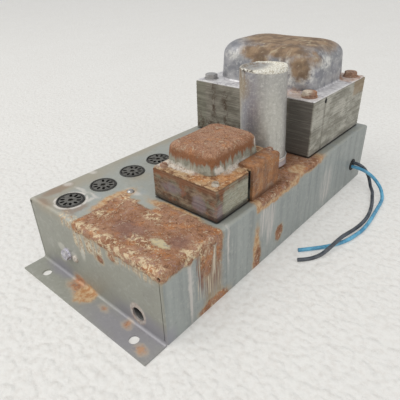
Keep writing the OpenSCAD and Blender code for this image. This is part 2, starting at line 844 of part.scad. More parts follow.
tail_face = socket_x + pin_circle_d / 2 + tail_w / 2;
side_tail_face = socket_x + pin_circle_d / 2 * cos(pin_step) + tail_w / 2;
side_tail_y = pin_circle_d / 2 * sin(pin_step);
tag_face = front_face_x - tag_t;
resistor_z = 37.5;
coupling_z = 33.8;

module resistors() {
    color("burlywood") for (i = [0:2], s = [-1, 1])
        axial(side_tail_face, tag_face, socket_ys[i] + s * side_tail_y, resistor_z, 3);
}

module coupling_capacitors() {
    color("goldenrod") for (i = [0:2])
        axial(tail_face, tag_face, socket_ys[i], coupling_z, 5.4);
}

// The electrolytic stands between the fourth socket and the rear strip's nearest tag.
module bias_capacitor() {
    color("steelblue") {
        axial(tail_face, tag_face, socket_ys[3], coupling_z, 6.2);
    }
}

// Wire-wound dropper between two of the rear strip's tags.
module dropper_resistor() {
    x = rear_face_x + strip_t + tag_t + 3.4;
    color("olivedrab") {
        translate([x, rear_tag_ys[0] - 1, strip_z + 3]) rotate([-90, 0, 0])
            cylinder(d = 6.6, h = rear_tag_ys[2] - rear_tag_ys[0] + 2);
        for (k = [0, 2])
            translate([rear_face_x + strip_t + tag_t, rear_tag_ys[k], strip_z + 3])
                rotate([0, 90, 0]) cylinder(r = 0.9, h = 2);
    }
}

// ---------------------------------------------------------------- wiring

heater_z = tail_bottom + 3;
heater_x = socket_x - 16;
heater_gap = 2.2;
heater_d = 1.6;

// Two heater wires from the lower bell, along the left wall and in to the first socket.
module heater_wires() {
    y0 = power_y - power_bell_d / 2;
    y1 = socket_ys[0];
    for (k = [0, 1])
        let (x = heater_x - heater_gap * k, s = k == 0 ? 1 : -1, pin = pin_at(k == 0 ? 8 : 0))
            color(k == 0 ? "green" : "khaki")
                tube(concat(
                    [[x + 14, y0, heater_z + 5], [x + 14, y0 - 3, heater_z + 5],
                        [x + 11, y0 - 8, heater_z + 3.4], [x + 5, y0 - 13, heater_z + 1.4],
                        [x + 1, y0 - 19, heater_z + 0.2]],
                    [for (t = [0:8]) [x, y0 - 26 + (y1 + 12 - y0 + 26) * t / 8, heater_z]],
                    [[x + 0.6, y1 + pin[1] + 3.4, heater_z], [x + 3, y1 + pin[1] + 0.8, heater_z],
                        [x + 6, y1 + pin[1], heater_z],
                        [socket_x + pin[0] - tail_w / 2, y1 + pin[1], heater_z]]),
                    heater_d / 2);
}

module lead(pts, tint) {
    color(tint) tube(pts, 0.9, 8);
}

// Leads of the power transformer, out of its lower bell and forward to the rear strip.
module power_leads() {
    y0 = power_y - power_bell_d / 2;
    for (k = [0:2])
        lead([[-24 + 5 * k, y0, 42], [-24 + 5 * k, y0 - 4, 42], [-23 + 5 * k, y0 - 9, 42.6],
            [-22 + 5 * k, y0 - 14, 43.6], [-21.5 + 5 * k, y0 - 19, 44]],
            ["red", "red", "yellow"][k]);
}

// Leads of the output transformer, out of its lower bell towards the far end.
module output_leads() {
    y0 = output_bell_y + output_bell_d / 2;
    for (k = [0:1])
        lead([[output_bell_x - 9 + 5 * k, y0, 46], [output_bell_x - 9 + 5 * k, y0 + 3, 46],
            [output_bell_x - 9.4 + 5 * k, y0 + 6, 45.4], [output_bell_x - 10 + 5 * k, y0 + 9, 44.6]],
            ["blue", "brown"][k]);
}

// The mains wires' stretch inside the box, from the grommet to the lower bell's side.
module inner_leads() {
    ends = [blue_route[0], black_route[0]];
    bell_side = power_x + power_bell_w / 2;
    for (k = [0, 1])
        let (y = ends[k][1], z = ends[k][2], g = 4 * k)
            color(k == 0 ? "steelblue" : "black")
                tube([[inner_x, y, z], [inner_x - 2, y, z], [inner_x - 5, y - 1, z + 1.4],
                    [inner_x - 7.6, y - 3.6, z + 4.6], [inner_x - 9, y - 7.4, z + 8.8],
                    [inner_x - 10.4, y - 11, z + 12.4], [inner_x - 12.8, y - 13.6 + g / 2, z + 14.6],
                    [bell_side + 2, y - 15 + g, z + 15.4], [bell_side, y - 15 + g, z + 15.4]],
                    wire_r);
}

// Rubber grommet: a lip on each face of the wall and one bore for each wire.
module wire_grommet() {
    color("black") translate([0, exit_y, wire_hole_z]) rotate([0, 90, 0]) difference() {
        union() {
            translate([0, 0, right_x]) cylinder(r = grommet_lip_r, h = grommet_lip_t);
            translate([0, 0, right_x - sheet]) cylinder(r = grommet_r, h = sheet);
            translate([0, 0, inner_x]) cylinder(r = grommet_lip_r, h = grommet_lip_t);
        }
        for (p = [blue_route[0], black_route[0]])
            translate([wire_hole_z - p[2], p[1] - exit_y, inner_x - 1])
                cylinder(r = wire_r, h = right_x - inner_x + grommet_lip_t + 2);
    }
}

// A free wire, with its straight stretch through the grommet.
module free_wire(route) {
    tube(concat([[inner_x, route[0][1], route[0][2]]], route), wire_r);
}

module wire_blue() {
    color("deepskyblue") free_wire(blue_route);
}

module wire_black() {
    color("dimgray") free_wire(black_route);
}

// ---------------------------------------------------------------- nodes

chassis();
tube_socket(0);  // socket_1
tube_socket(1);  // socket_2
tube_socket(2);  // socket_3
tube_socket(3);  // socket_4
socket_contacts(0);  // socket_contacts_1
socket_contacts(1);  // socket_contacts_2
socket_contacts(2);  // socket_contacts_3
socket_contacts(3);  // socket_contacts_4
socket_rings();
power_core();
power_bell_top();
power_bell_bottom();
power_bobbin();
power_coil();
power_bolts();
power_washers();
power_nuts();
power_leads();
output_core();
output_bell_top();
output_bell_bottom();
output_bobbin();
output_coil();
output_clamp();
output_screws();
output_nuts();
output_leads();
can_capacitor();
can_base_ring();
can_winding();
can_base_disc();
can_wafer();
can_lugs();
panel_screw();
panel_nut();
panel_rivet();
strip_rivets();
front_tag_strip();
front_tags();
rear_tag_strip();
rear_tags();
resistors();
coupling_capacitors();
bias_capacitor();
dropper_resistor();
heater_wires();
wire_grommet();
inner_leads();
wire_blue();
wire_black();
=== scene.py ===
# %% [markdown]
# An old valve-amplifier chassis: a galvanised steel box with two transformers, a can
# capacitor and four empty valve sockets on its deck. The solid model that this script
# loads gives every piece its size and place. What is made here is what the eye reads:
# rounded pressings, stacked laminations, socket wells, screws, and above all the skin
# of the metal, with its zinc, dust, dried drips and rust.

# %% Load the solid model
import math

import bmesh
import bpy
from mathutils import Matrix, Vector, noise


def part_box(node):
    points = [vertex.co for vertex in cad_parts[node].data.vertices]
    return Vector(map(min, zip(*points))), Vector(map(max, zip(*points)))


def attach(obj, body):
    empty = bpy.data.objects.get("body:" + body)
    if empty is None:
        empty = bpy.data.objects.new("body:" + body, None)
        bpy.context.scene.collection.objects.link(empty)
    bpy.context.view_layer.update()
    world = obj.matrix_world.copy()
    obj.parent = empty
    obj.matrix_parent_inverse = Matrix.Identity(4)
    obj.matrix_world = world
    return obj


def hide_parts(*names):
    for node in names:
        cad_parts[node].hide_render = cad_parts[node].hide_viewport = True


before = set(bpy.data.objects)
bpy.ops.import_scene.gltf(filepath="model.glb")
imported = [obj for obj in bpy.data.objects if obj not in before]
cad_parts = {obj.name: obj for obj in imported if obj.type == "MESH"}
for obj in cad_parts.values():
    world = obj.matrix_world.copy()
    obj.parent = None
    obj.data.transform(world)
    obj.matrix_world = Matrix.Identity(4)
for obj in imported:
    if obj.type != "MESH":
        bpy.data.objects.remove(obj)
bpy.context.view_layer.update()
MM = 0.001
noise.seed_set(7)  # without a seed, the dents that noise_vector makes would change from run to run

# %% [markdown]
# The camera stands above the front right corner and looks down at about thirty degrees.
# Its turn is built from three angles, the way a tripod head is set: around, down, and a
# small roll. Writing the three axes out by hand keeps the roll exact.

# %% Camera
def aim(around, down, roll):
    """The turn of a camera that looks at the origin from that azimuth and elevation."""
    a, e, r = (math.radians(v) for v in (around, down, roll))
    back = Vector((math.sin(a) * math.cos(e), -math.cos(a) * math.cos(e), math.sin(e)))
    right = Vector((0, 0, 1)).cross(back).normalized()
    up = back.cross(right)
    tilted = (math.cos(r) * right + math.sin(r) * up, math.cos(r) * up - math.sin(r) * right, back)
    return Matrix(tilted).transposed().to_4x4()


camera_data = bpy.data.cameras.new("camera")
camera_data.lens = 36.17
camera_data.sensor_width = 36
camera_data.clip_start = 0.01
camera_data.clip_end = 60
camera = bpy.data.objects.new("camera", camera_data)
camera.matrix_world = Matrix.Translation((0.1809, -0.2263, 0.1870)) @ aim(41.644, 30.811, -1.765)
bpy.context.scene.collection.objects.link(camera)
bpy.context.scene.camera = camera
print("camera", camera_data.lens, "mm lens")

# %% [markdown]
# Two mains wires leave the right wall through one grommet, drop to the bench and end
# cut off. A wire is a fixed length of something bendy, so each is one curve with a round
# section, drawn through the same points as its solid. Catmull-Rom steps between those
# points make the bends smooth without leaving the route.

# %% Wire routes, in millimetres
BLUE_ROUTE = [
    (61.6, 119.2, 18.2), (64, 119.2, 18.2), (68, 119.6, 18), (73, 120.8, 17), (78.5, 122.2, 14.8),
    (84, 122.6, 11.6), (89, 121.4, 8.2), (93.6, 118.2, 5.2), (97.2, 113, 3),
    (99.8, 106.6, 1.8), (101.2, 99, 1.6), (102.2, 90, 1.6), (103.2, 80, 1.6),
    (104.2, 70, 1.6), (104.9, 60, 1.6), (104.8, 50, 1.6), (103.4, 40.4, 1.6),
    (101.2, 30.6, 1.6), (97.4, 21.4, 1.6), (92.2, 12.8, 1.6), (86.4, 5.4, 1.6),
    (81.4, -0.4, 1.6), (78.4, -3.8, 1.6)]
BLACK_ROUTE = [
    (61.6, 121.4, 21.2), (64, 121.4, 21.2), (68, 121.9, 20.9), (71.6, 123.4, 19), (74.4, 125.4, 16),
    (76.6, 126.8, 12.4), (79, 126.8, 8.6), (81.4, 124.6, 5.4), (84.2, 120.2, 3.2),
    (88.4, 114, 1.8), (91.8, 105, 1.6), (95.2, 95.5, 1.6), (98, 85.5, 1.6),
    (100, 75.5, 1.6), (100.9, 65.5, 1.6), (100.6, 55.5, 1.7), (99.6, 45.5, 2.2),
    (98.6, 36, 3.6), (97.8, 27, 4.9), (97.2, 18, 5.2), (96.2, 9.6, 4.2),
    (94.2, 1.6, 2.4), (91, -5.2, 1.7), (86.8, -10.8, 1.6), (83.4, -14, 1.6)]
WIRE_D = 3.0 * MM


def smooth_route(points, steps=6):
    """Catmull-Rom points through a route, in metres."""
    p = [Vector(q) * MM for q in points]
    p = [2 * p[0] - p[1]] + p + [2 * p[-1] - p[-2]]
    line = []
    for a, b, c, d in zip(p, p[1:], p[2:], p[3:]):
        for k in range(steps):
            t = k / steps
            line.append(0.5 * (2 * b + (c - a) * t + (2 * a - 5 * b + 4 * c - d) * t * t
                               + (3 * b - a - 3 * c + d) * t ** 3))
    return line + [p[-2]]


def curve_piece(name, line, radius, sides=3):
    """One open curve with a round section and closed ends."""
    curve = bpy.data.curves.new(name, "CURVE")
    curve.dimensions = "3D"
    curve.bevel_depth = 1.0
    curve.bevel_resolution = sides
    curve.use_fill_caps = True
    spline = curve.splines.new("POLY")
    spline.points.add(len(line) - 1)
    for point, place in zip(spline.points, line):
        point.co = (*place, 1)
        point.radius = radius
    piece = bpy.data.objects.new(name, curve)
    bpy.context.scene.collection.objects.link(piece)
    return piece


wires = {}
for name, route in (("wire_blue", BLUE_ROUTE), ("wire_black", BLACK_ROUTE)):
    line = smooth_route(route)
    length = sum((b - a).length for a, b in zip(line, line[1:]))
    wire = curve_piece(name + "_skin", line, WIRE_D / 2)
    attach(wire, "root")
    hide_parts(name)
    wires[name] = wire
    print(name, round(length * 1000, 1), "mm")

# %% [markdown]
# The bench is one plain pale plane and the light is soft. A pale sky lights everything
# evenly, and one wide lamp above the left shoulder gives the metal a bright and a dim
# side. Metal needs something to reflect, so the lamp is large rather than strong.

# %% Bench and light
def mesh_piece(name, verts, faces, smooth=True):
    """A mesh object at the origin, its place in its points."""
    mesh = bpy.data.meshes.new(name)
    mesh.from_pydata([tuple(v) for v in verts], [], faces)
    mesh.validate()
    mesh.polygons.foreach_set("use_smooth", [smooth] * len(mesh.polygons))
    piece = bpy.data.objects.new(name, mesh)
    bpy.context.scene.collection.objects.link(piece)
    return piece


bench = mesh_piece("bench", [(-9, -9, 0), (9, -9, 0), (9, 9, 0), (-9, 9, 0)], [(0, 1, 2, 3)])

sky = bpy.data.worlds.new("sky")
sky.use_nodes = True
sky.node_tree.nodes["Background"].inputs["Color"].default_value = (0.97, 0.985, 1.0, 1)
sky.node_tree.nodes["Background"].inputs["Strength"].default_value = 0.62
bpy.context.scene.world = sky
bpy.context.scene.view_settings.view_transform = "Standard"


def lamp(name, place, target, size, watts, tint=(1, 1, 1)):
    """A square soft lamp that faces a point."""
    data = bpy.data.lights.new(name, "AREA")
    data.size, data.energy, data.color = size, watts, tint
    piece = bpy.data.objects.new(name, data)
    direction = Vector(target) - Vector(place)
    piece.matrix_world = (Matrix.Translation(place)
                          @ direction.to_track_quat("-Z", "Y").to_matrix().to_4x4())
    bpy.context.scene.collection.objects.link(piece)


lamp("window", (-0.5, -0.9, 1.5), (0, 0, 0.05), 1.2, 17, (1, 0.985, 0.96))
lamp("fill", (1.3, -0.2, 0.9), (0, 0, 0.05), 0.9, 4.5)

# %% [markdown]
# Finishes are sums of masks: a base colour, then stains laid over it one at a time. Node
# trees say that badly when each Add and Multiply is wired by hand, so one small class
# stands for a socket and turns Python's own operators into Math nodes. Numbers that meet
# only numbers stay in Python.

# %% Sockets that can be summed
class Flow:
    """One output of a node tree. Sums with it add Math nodes."""

    def __init__(self, tree, socket):
        self.tree, self.socket = tree, socket

    def math(self, operation, a, b):
        node = self.tree.nodes.new("ShaderNodeMath")
        node.operation = operation
        for slot_in, value in zip(node.inputs, (a, b)):
            if isinstance(value, Flow):
                self.tree.links.new(value.socket, slot_in)
            else:
                slot_in.default_value = value
        return Flow(self.tree, node.outputs[0])

    def __add__(self, other):
        return self.math("ADD", self, other)

    def __sub__(self, other):
        return self.math("SUBTRACT", self, other)

    def __rsub__(self, other):
        return self.math("SUBTRACT", other, self)

    def __mul__(self, other):
        return self.math("MULTIPLY", self, other)

    def least(self, other):
        return self.math("MINIMUM", self, other)

    def most(self, other):
        return self.math("MAXIMUM", self, other)

    __radd__, __rmul__ = __add__, __mul__


def tone(red, green, blue):
    """A colour given as it looks on a screen, 0 to 255, made linear for the shader."""
    def linear(v):
        v /= 255
        return v / 12.92 if v <= 0.04045 else ((v + 0.055) / 1.055) ** 2.4
    return (linear(red), linear(green), linear(blue), 1)


class Tree:
    """A node tree being written."""

    def __init__(self, tree):
        self.tree = tree

    def node(self, kind, settings=None, values=None, out=0):
        """Any node: its type, its settings, then the values or links of its sockets."""
        node = self.tree.nodes.new(kind)
        for key, value in (settings or {}).items():
            if key == "stops":
                ramp = node.color_ramp
                while len(ramp.elements) < len(value):
                    ramp.elements.new(0.5)
                for element, (position, color) in zip(ramp.elements, value):
                    element.position, element.color = position, color
            else:
                setattr(node, key, value)
        for key, value in (values or {}).items():
            if isinstance(value, Flow):
                self.tree.links.new(value.socket, node.inputs[key])
            else:
                node.inputs[key].default_value = value
        return Flow(self.tree, node.outputs[out])

    def vector(self, operation, a, b=None, Scale=None, out=0):
        values = {0: a}
        if b is not None:
            values[1] = b
        if Scale is not None:
            values["Scale"] = Scale
        return self.node("ShaderNodeVectorMath", {"operation": operation}, values, out)


class Finish(Tree):
    """One material under construction. Lengths inside it are millimetres."""

    def __init__(self, name):
        self.material = bpy.data.materials.new(name)
        self.material.use_nodes = True
        super().__init__(self.material.node_tree)
        self.tree.nodes.clear()
        at = self.node("ShaderNodeTexCoord", out="Object")
        self.at = self.vector("SCALE", at, Scale=1000)
        self.x, self.y, self.z = (self.node("ShaderNodeSeparateXYZ", {}, {0: self.at},
                                            k) for k in range(3))

    def noise(self, size, detail=4, at=None, rough=0.55, twist=0, out="Fac", stretch=None, seed=0):
        """Cloudy noise whose blotches are about that many millimetres across."""
        at = self.at if at is None else at
        if stretch:
            at = self.vector("DIVIDE", at, stretch)
        if seed:
            at = self.vector("ADD", at, (seed * 37.1, seed * 11.7, seed * 5.3))
        return self.node("ShaderNodeTexNoise", {}, {"Vector": at, "Scale": 1 / size, "Detail": detail,
                                                    "Roughness": rough, "Distortion": twist}, out)

    def cells(self, size, at=None, feature="F1", out="Distance", randomness=1.0):
        at = self.at if at is None else at
        return self.node("ShaderNodeTexVoronoi", {"feature": feature},
                         {"Vector": at, "Scale": 1 / size, "Randomness": randomness}, out)

    def step(self, value, low, high):
        """0 up to low, 1 from high on, eased between. low may be the larger of the two."""
        return self.node("ShaderNodeMapRange", {"interpolation_type": "SMOOTHSTEP"},
                         {"Value": value, "From Min": low, "From Max": high})

    def mix(self, share, under, over):
        """Colour over laid on colour under where share is 1."""
        return self.node("ShaderNodeMix", {"data_type": "RGBA"}, {0: share, 6: under, 7: over}, 2)

    def lay(self, share, over):
        """Lays a colour over what the finish has so far."""
        self.color = self.mix(share, self.color, over)

    def level(self, share, under, over):
        """The same as mix for plain numbers."""
        return self.node("ShaderNodeMix", {}, {0: share, 2: under, 3: over})

    def ragged(self, amount, size, seed=0):
        """The place, shaken by noise, so that a stain drawn with it gets a torn edge."""
        shake = self.vector("SUBTRACT", self.noise(size, 8, out="Color", seed=seed, rough=0.74),
                            (0.5, 0.5, 0.5))
        return self.vector("ADD", self.at, self.vector("SCALE", shake, Scale=amount))

    def blob(self, at, centre, radii):
        """Millimetres outside an ellipsoid, and less than zero inside it."""
        offset = self.vector("DIVIDE", self.vector("SUBTRACT", at, centre), radii)
        return (self.vector("LENGTH", offset, out="Value") - 1) * min(radii)

    def blobs(self, at, *rows):
        """The nearest of several ellipsoids, each written as its centre and then its radii."""
        return self.nearest([self.blob(at, row[:3], row[3:]) for row in rows])

    def box(self, at, low, high):
        """Millimetres outside a box, and zero inside it."""
        centre = [(a + b) / 2 for a, b in zip(low, high)]
        half = [(b - a) / 2 for a, b in zip(low, high)]
        away = self.vector("ABSOLUTE", self.vector("SUBTRACT", at, centre))
        outside = self.vector("MAXIMUM", self.vector("SUBTRACT", away, half), (0, 0, 0))
        return self.vector("LENGTH", outside, out="Value")

    def nearest(self, distances):
        total = distances[0]
        for other in distances[1:]:
            total = total.least(other)
        return total

    def bump(self, height, millimetres, strength=1.0, under=None):
        values = {"Height": height, "Distance": millimetres * MM, "Strength": strength}
        if under is not None:
            values["Normal"] = under
        return self.node("ShaderNodeBump", {}, values, "Normal")

    def done(self, rough=0.5, metal=0.0, normal=None, **constants):
        """Closes the material with one Principled shader."""
        values = {"Base Color": self.color, "Roughness": rough, "Metallic": metal}
        values.update({key.replace("_", " "): value for key, value in constants.items()})
        if normal is not None:
            values["Normal"] = normal
        shader = self.node("ShaderNodeBsdfPrincipled", {}, values)
        end = self.tree.nodes.new("ShaderNodeOutputMaterial")
        self.tree.links.new(shader.socket, end.inputs["Surface"])
        return self.material


print("shader kit ready")

# %% [markdown]
# Rust comes back on the chassis, both bells, the cores and the clamp, so it is one recipe.
# It has three tones that clouds of noise pick from, mauve where the zinc has gone chalky,
# pale flecks where scale has lifted, and dark pits. It returns its colour and its height,
# and each finish decides where it lies.

# %% Rust
RUST_BROWN = tone(142, 98, 68)
RUST_TAN = tone(166, 126, 98)
RUST_DARK = tone(92, 56, 36)
RUST_ORANGE = tone(186, 122, 66)
RUST_MAUVE = tone(146, 118, 112)
SCALE_CREAM = tone(214, 196, 168)


def rust(f, pinkness=0.5):
    """Colour and height of rusted scale."""
    clouds = f.noise(15, 6, rough=0.7, seed=3)
    grain = f.noise(3.2, 7, rough=0.78, twist=0.5, seed=4)
    fine = f.noise(0.8, 4, rough=0.75, seed=5)
    curls = f.noise(5, 6, rough=0.72, twist=1.6, seed=7)
    color = f.mix(f.step(clouds, 0.4, 0.6), RUST_BROWN, RUST_TAN)
    color = f.mix(f.step(f.noise(11, 6, rough=0.7, seed=6), 0.52, 0.62) * 0.6, color, RUST_ORANGE)
    color = f.mix(f.step(grain, 0.52, 0.62) * pinkness * 0.8, color, RUST_MAUVE)
    color = f.mix(f.step(grain, 0.49, 0.36) * 0.9, color, RUST_DARK)
    flecks = f.step(curls, 0.565, 0.61) * f.step(fine, 0.32, 0.52)
    color = f.mix(flecks * 0.75, color, SCALE_CREAM)
    color = f.mix(f.step(fine, 0.5, 0.68) * 0.55, color, RUST_DARK)
    color = f.mix(f.step(fine, 0.44, 0.32) * 0.4, color, tone(196, 164, 134))
    return color, grain * 0.6 + fine * 0.5 + flecks * 0.25


print("rust ready")

# %% [markdown]
# The chassis skin is the largest surface and carries most of the story. Clean zinc is a
# cool grey with faint clouds. Its upright walls have run marks, long in height and narrow
# across. Over that lie chalky white oxide, cream dried drips, and the rust, which
# started at the near right corner of the deck and ran down both walls. Every stain is a
# box or an ellipsoid set out in millimetres on the solid model, with its edge torn by
# noise, so one stain can cross a fold from the deck on to a wall.

# %% Chassis finish
def chassis_finish():
    f = Finish("weathered_zinc")
    torn = f.ragged(9, 9)
    soft = f.ragged(16, 26, seed=1)
    deck = f.step(f.z, 50.6, 51.6)
    panel = f.step(f.y, -124.4, -125.6) * f.step(f.z, 51.5, 50)
    side = f.step(f.x, 61.9, 63.2) * f.step(f.z, 51.5, 50)
    clouds = f.noise(22, 5, seed=2)
    fine = f.noise(2.4, 5, rough=0.65, seed=3)
    runs = f.noise(5, 5, rough=0.6, stretch=(1, 1, 14), seed=4)
    thin_runs = f.noise(1.6, 4, rough=0.6, stretch=(1, 1, 22), seed=5)

    # Clean zinc: cooler on the deck, greener on the walls, and the deck painted lighter than the walls,
    # painted light on the top and painted shade on the sides.
    f.color = f.mix(clouds, tone(158, 160, 150), tone(172, 174, 168))
    f.lay(f.step(f.noise(9, 4, seed=8), 0.45, 0.7) * 0.5, tone(158, 166, 168))
    f.lay(side, f.mix(f.step(runs, 0.3, 0.7), tone(144, 149, 147), tone(160, 165, 162)))
    f.lay(panel, f.mix(clouds, tone(146, 146, 136), tone(160, 160, 150)))
    f.lay(side * f.step(thin_runs, 0.56, 0.75) * 0.25, tone(186, 188, 184))
    f.lay(side * f.step(runs, 0.44, 0.28) * 0.25, tone(122, 126, 122))
    f.lay(f.step(fine, 0.56, 0.74) * 0.4, tone(194, 195, 188))
    f.lay(f.step(fine, 0.44, 0.27) * 0.4, tone(116, 118, 110))
    f.lay(f.step(f.noise(6, 7, rough=0.75, seed=14), 0.52, 0.64) * 0.3, tone(186, 186, 180))

    # Lavender cast low on the panel's right and along the foot flange.
    low = f.blobs(soft, (46, -126, 2, 30, 8, 12), (34, -136, 0, 36, 12, 6), (-38, -126, 2, 18, 6, 9))
    f.lay(f.step(low, 3, -4) * 0.65, tone(146, 143, 154))

    # Yellowed grime along the deck's left edge and round the first two sockets.
    grime = f.blobs(soft, (-57, -95, 52, 10, 42, 6), (-46, -122, 52, 20, 12, 6),
                    (-60, -20, 52, 7, 60, 6), (-26, -60, 52, 6, 9, 4))
    f.lay(f.step(grime, 4, -5) * 0.6, tone(168, 156, 134))
    brown = f.blobs(torn, (-57, -108, 52, 4, 12, 4), (-28, -119, 52, 7, 3, 3),
                    (-50, -123, 52, 8, 2.5, 3), (-24, -113, 52, 3, 6, 3))
    f.lay(f.step(brown, 1.5, -1.5) * 0.6, tone(146, 118, 98))

    # Chalky oxide: a ring round the first socket, a thin run to the second, wall streaks.
    off = f.vector("SUBTRACT", f.ragged(2.2, 4, seed=6), (-37, -110.8, 52))
    ring = f.vector("LENGTH", off, out="Value") - 10.6
    ring = f.step(ring.math("ABSOLUTE", ring, 0), 1.5, 0.3) * f.step(f.noise(7, 3, seed=9), 0.36, 0.5)
    chalk = f.blobs(torn, (-27.5, -103, 52, 1.6, 6, 2), (-30, -97, 52, 5, 1.2, 2),
                    (-44, -98, 52, 6, 1.5, 2), (-58, -99, 52, 3, 3, 2), (-13, -77, 52, 7, 2.2, 2),
                    (-60, -76, 52, 3, 2.5, 2))
    f.lay((f.step(chalk, 1.0, -0.8) * 0.7).most(ring), tone(214, 208, 200))
    streaks = f.blobs(torn, (63.5, -22, 33, 3, 5, 17), (63.5, -31, 38, 3, 3, 12),
                      (63.5, -104, 26, 3, 1.6, 28), (63.5, 66, 22, 3, 8, 14),
                      (63.5, -70, 40, 3, 1.2, 12),
                      (63.5, -84, 30, 3, 1.5, 22))
    f.lay(f.step(streaks, 2, -1) * f.step(thin_runs, 0.36, 0.6) * 0.8, tone(206, 200, 194))
    drips = f.nearest([
        f.box(torn, (-14, -130, 37), (3, -122, 56)), f.box(torn, (-10, -130, 32), (-6, -122, 56)),
        f.box(torn, (6, -130, 34), (13, -122, 56)), f.box(torn, (20, -130, 42), (30, -122, 56)),
        f.box(torn, (34, -130, 44), (56, -122, 56)), f.box(torn, (-28, -130, 47), (-12, -122, 56))])
    scab = f.mix(f.step(f.noise(2.2, 6, rough=0.75, seed=17), 0.44, 0.58), tone(210, 198, 170),
                 tone(164, 126, 92))
    f.lay(f.step(drips, 3, 0) * f.step(thin_runs, 0.44, 0.56) * 0.85, scab)

    # Rust: a yellow-brown halo first, then the scale itself.
    patches = f.nearest([
        f.box(torn, (-13, -140, 48), (70, -92, 60)), f.box(torn, (-15, -97, 48), (-1, -84, 60)),
        f.box(torn, (16, -100, 48), (70, -76.5, 60)), f.box(torn, (0, -100, 48), (18, -87, 60)),
        f.blob(torn, (64, -90, 44), (4, 4.5, 13)), f.blob(torn, (64, -83, 1), (4, 11, 5)),
        f.blob(torn, (64, -79, 46), (4, 2, 10)), f.blob(torn, (64, -105, 50), (4, 4, 4)),
        f.blob(torn, (64, -36, 6), (4, 3, 9)), f.blob(torn, (64, -8, 14), (4, 4, 5)),
        f.blob(torn, (10.5, -126, 36), (2, 4, 2)), f.blob(torn, (23, -126, 44), (2, 4, 2.4)),
        f.box(torn, (57, -33, 49), (70, 2, 60)), f.blob(torn, (52, 33, 52), (15, 14, 3)),
        f.blob(torn, (54, 7, 53), (8, 16, 3)), f.blob(torn, (-8, -38, 52), (5, 9, 3))])
    orange = f.nearest([
        f.box(torn, (58, -38, 46.5), (70, 14, 60)), f.blob(torn, (-15, -92, 52), (4, 12, 3)),
        f.blob(torn, (28, -77, 52), (16, 3, 3)), f.box(torn, (58, -35, 48), (66, -5, 60)),
        f.blob(torn, (-6, -131, 1), (5, 5, 3)), f.blob(torn, (60, 34, 52), (9, 16, 3)),
        f.blob(torn, (64, -38, 14), (4, 2.5, 12))])
    bare = f.blob(f.ragged(8, 4, seed=7), (44, -107, 52), (6, 2.6, 2.5))
    clean = f.blob(torn, (58, 22, 52), (5, 7, 3))
    wash = f.step(f.blob(torn, (64, -84, 13), (4, 8, 21)), 2, -2)
    f.lay(wash * (f.step(thin_runs, 0.35, 0.6) * 0.5 + 0.35), tone(150, 126, 94))
    flange_spots = f.blobs(torn, (-14, -130, 1, 9, 4.5, 4), (-19, -126, 3, 6, 4, 4),
                           (34.5, -130, 1, 2.2, 2.4, 2), (54.5, -137.5, 1, 2.6, 1.6, 2),
                           (13, -131, 1, 2, 1.2, 2))
    f.lay(f.step(flange_spots, 3.0, 0.5) * f.step(fine, 0.3, 0.5) * 0.5, tone(196, 180, 158))
    f.lay(f.step(flange_spots, 1.6, -1.6) * (f.step(fine, 0.32, 0.54) * 0.5 + 0.4),
          f.mix(f.step(f.noise(4, 6, rough=0.7, seed=15), 0.42, 0.58), tone(166, 108, 72),
                tone(192, 146, 110)))
    trails = f.step(f.box(torn, (60, -97, 14), (66, -78, 56)), 3, 0)
    f.lay(trails * f.step(thin_runs, 0.5, 0.6) * 0.8, tone(212, 198, 176))
    f.lay(trails * f.step(thin_runs, 0.51, 0.45) * f.step(f.z, 8, 30) * 0.9, tone(120, 68, 46))
    halo = f.step(patches.least(orange), 4.0, 0) * f.step(f.noise(5, 6, rough=0.7, seed=13), 0.34, 0.56)
    f.lay(halo * 0.7, tone(184, 166, 136))
    scale_color, scale_height = rust(f, 0.8)
    gloom = f.blobs(soft, (20, -108, 52, 12, 7, 6), (52, -98, 52, 7, 5, 6))
    scale_color = f.mix(f.step(gloom, 3, -3) * 0.55, scale_color, tone(118, 88, 82))
    pale = f.nearest([f.box(torn, (-12, -128, 44), (62, -121, 56)),
                      f.blob(torn, (-10, -84, 52), (7, 4, 3)),
                      f.blob(torn, (20, -90, 52), (5, 3, 3)), f.blob(torn, (-8, -108, 52), (5, 3, 3)),
                      f.blob(torn, (34, -112, 52), (8, 2.5, 3)),
                      f.blob(torn, (62, -100, 48), (4, 8, 5))])
    lifted = f.step(pale, 3, -1) * f.step(f.noise(3.6, 7, rough=0.78, twist=0.8, seed=16), 0.49, 0.56)
    scale_color = f.mix(lifted * 0.85, scale_color, tone(220, 202, 166))
    f.lay(f.step(orange, 2.4, 0.2) * 0.85, f.mix(f.step(f.noise(3, 6, rough=0.7, seed=10), 0.42, 0.58),
                                                 tone(176, 124, 76), tone(200, 170, 132)))
    eaten = f.step(patches, 1.8, 0.2) * f.step(bare, -0.4, 1.2) * f.step(clean, -0.4, 1.2)
    f.lay(eaten, scale_color)
    f.lay(f.step(bare, 1.2, -0.2) * f.step(fine, 0.36, 0.5) * 0.85, tone(206, 190, 150))

    # A pale ring round the panel's hole, and one beside its screw.
    off = f.vector("MULTIPLY", f.vector("SUBTRACT", f.ragged(1.2, 3, seed=8), (40.5, -126, 10.6)),
                   (1, 0.2, 0.86))
    halo_ring = f.step(f.vector("LENGTH", off, out="Value"), 7.6, 6.2) * panel
    f.lay(halo_ring * 0.85, f.mix(f.step(fine, 0.4, 0.6), tone(178, 160, 150), tone(204, 196, 186)))
    panel_spots = f.blobs(torn, (-19, -126, 22.5, 3.4, 3, 4), (-34, -126, 24, 4, 3, 3.5),
                          (-35, -126, 14.5, 3.2, 3, 2.6), (-8, -126, 31, 2, 3, 5))
    f.lay(f.step(panel_spots, 1, -0.6) * panel * 0.75, tone(194, 192, 182))
    f.lay(f.step(f.box(f.at, (-64, -126.3, -1), (64, -125, 50)), 1,
                 0.2) * f.step(f.noise(30, 3, seed=11), 0.5, 0.7) * 0.18, tone(120, 118, 116))
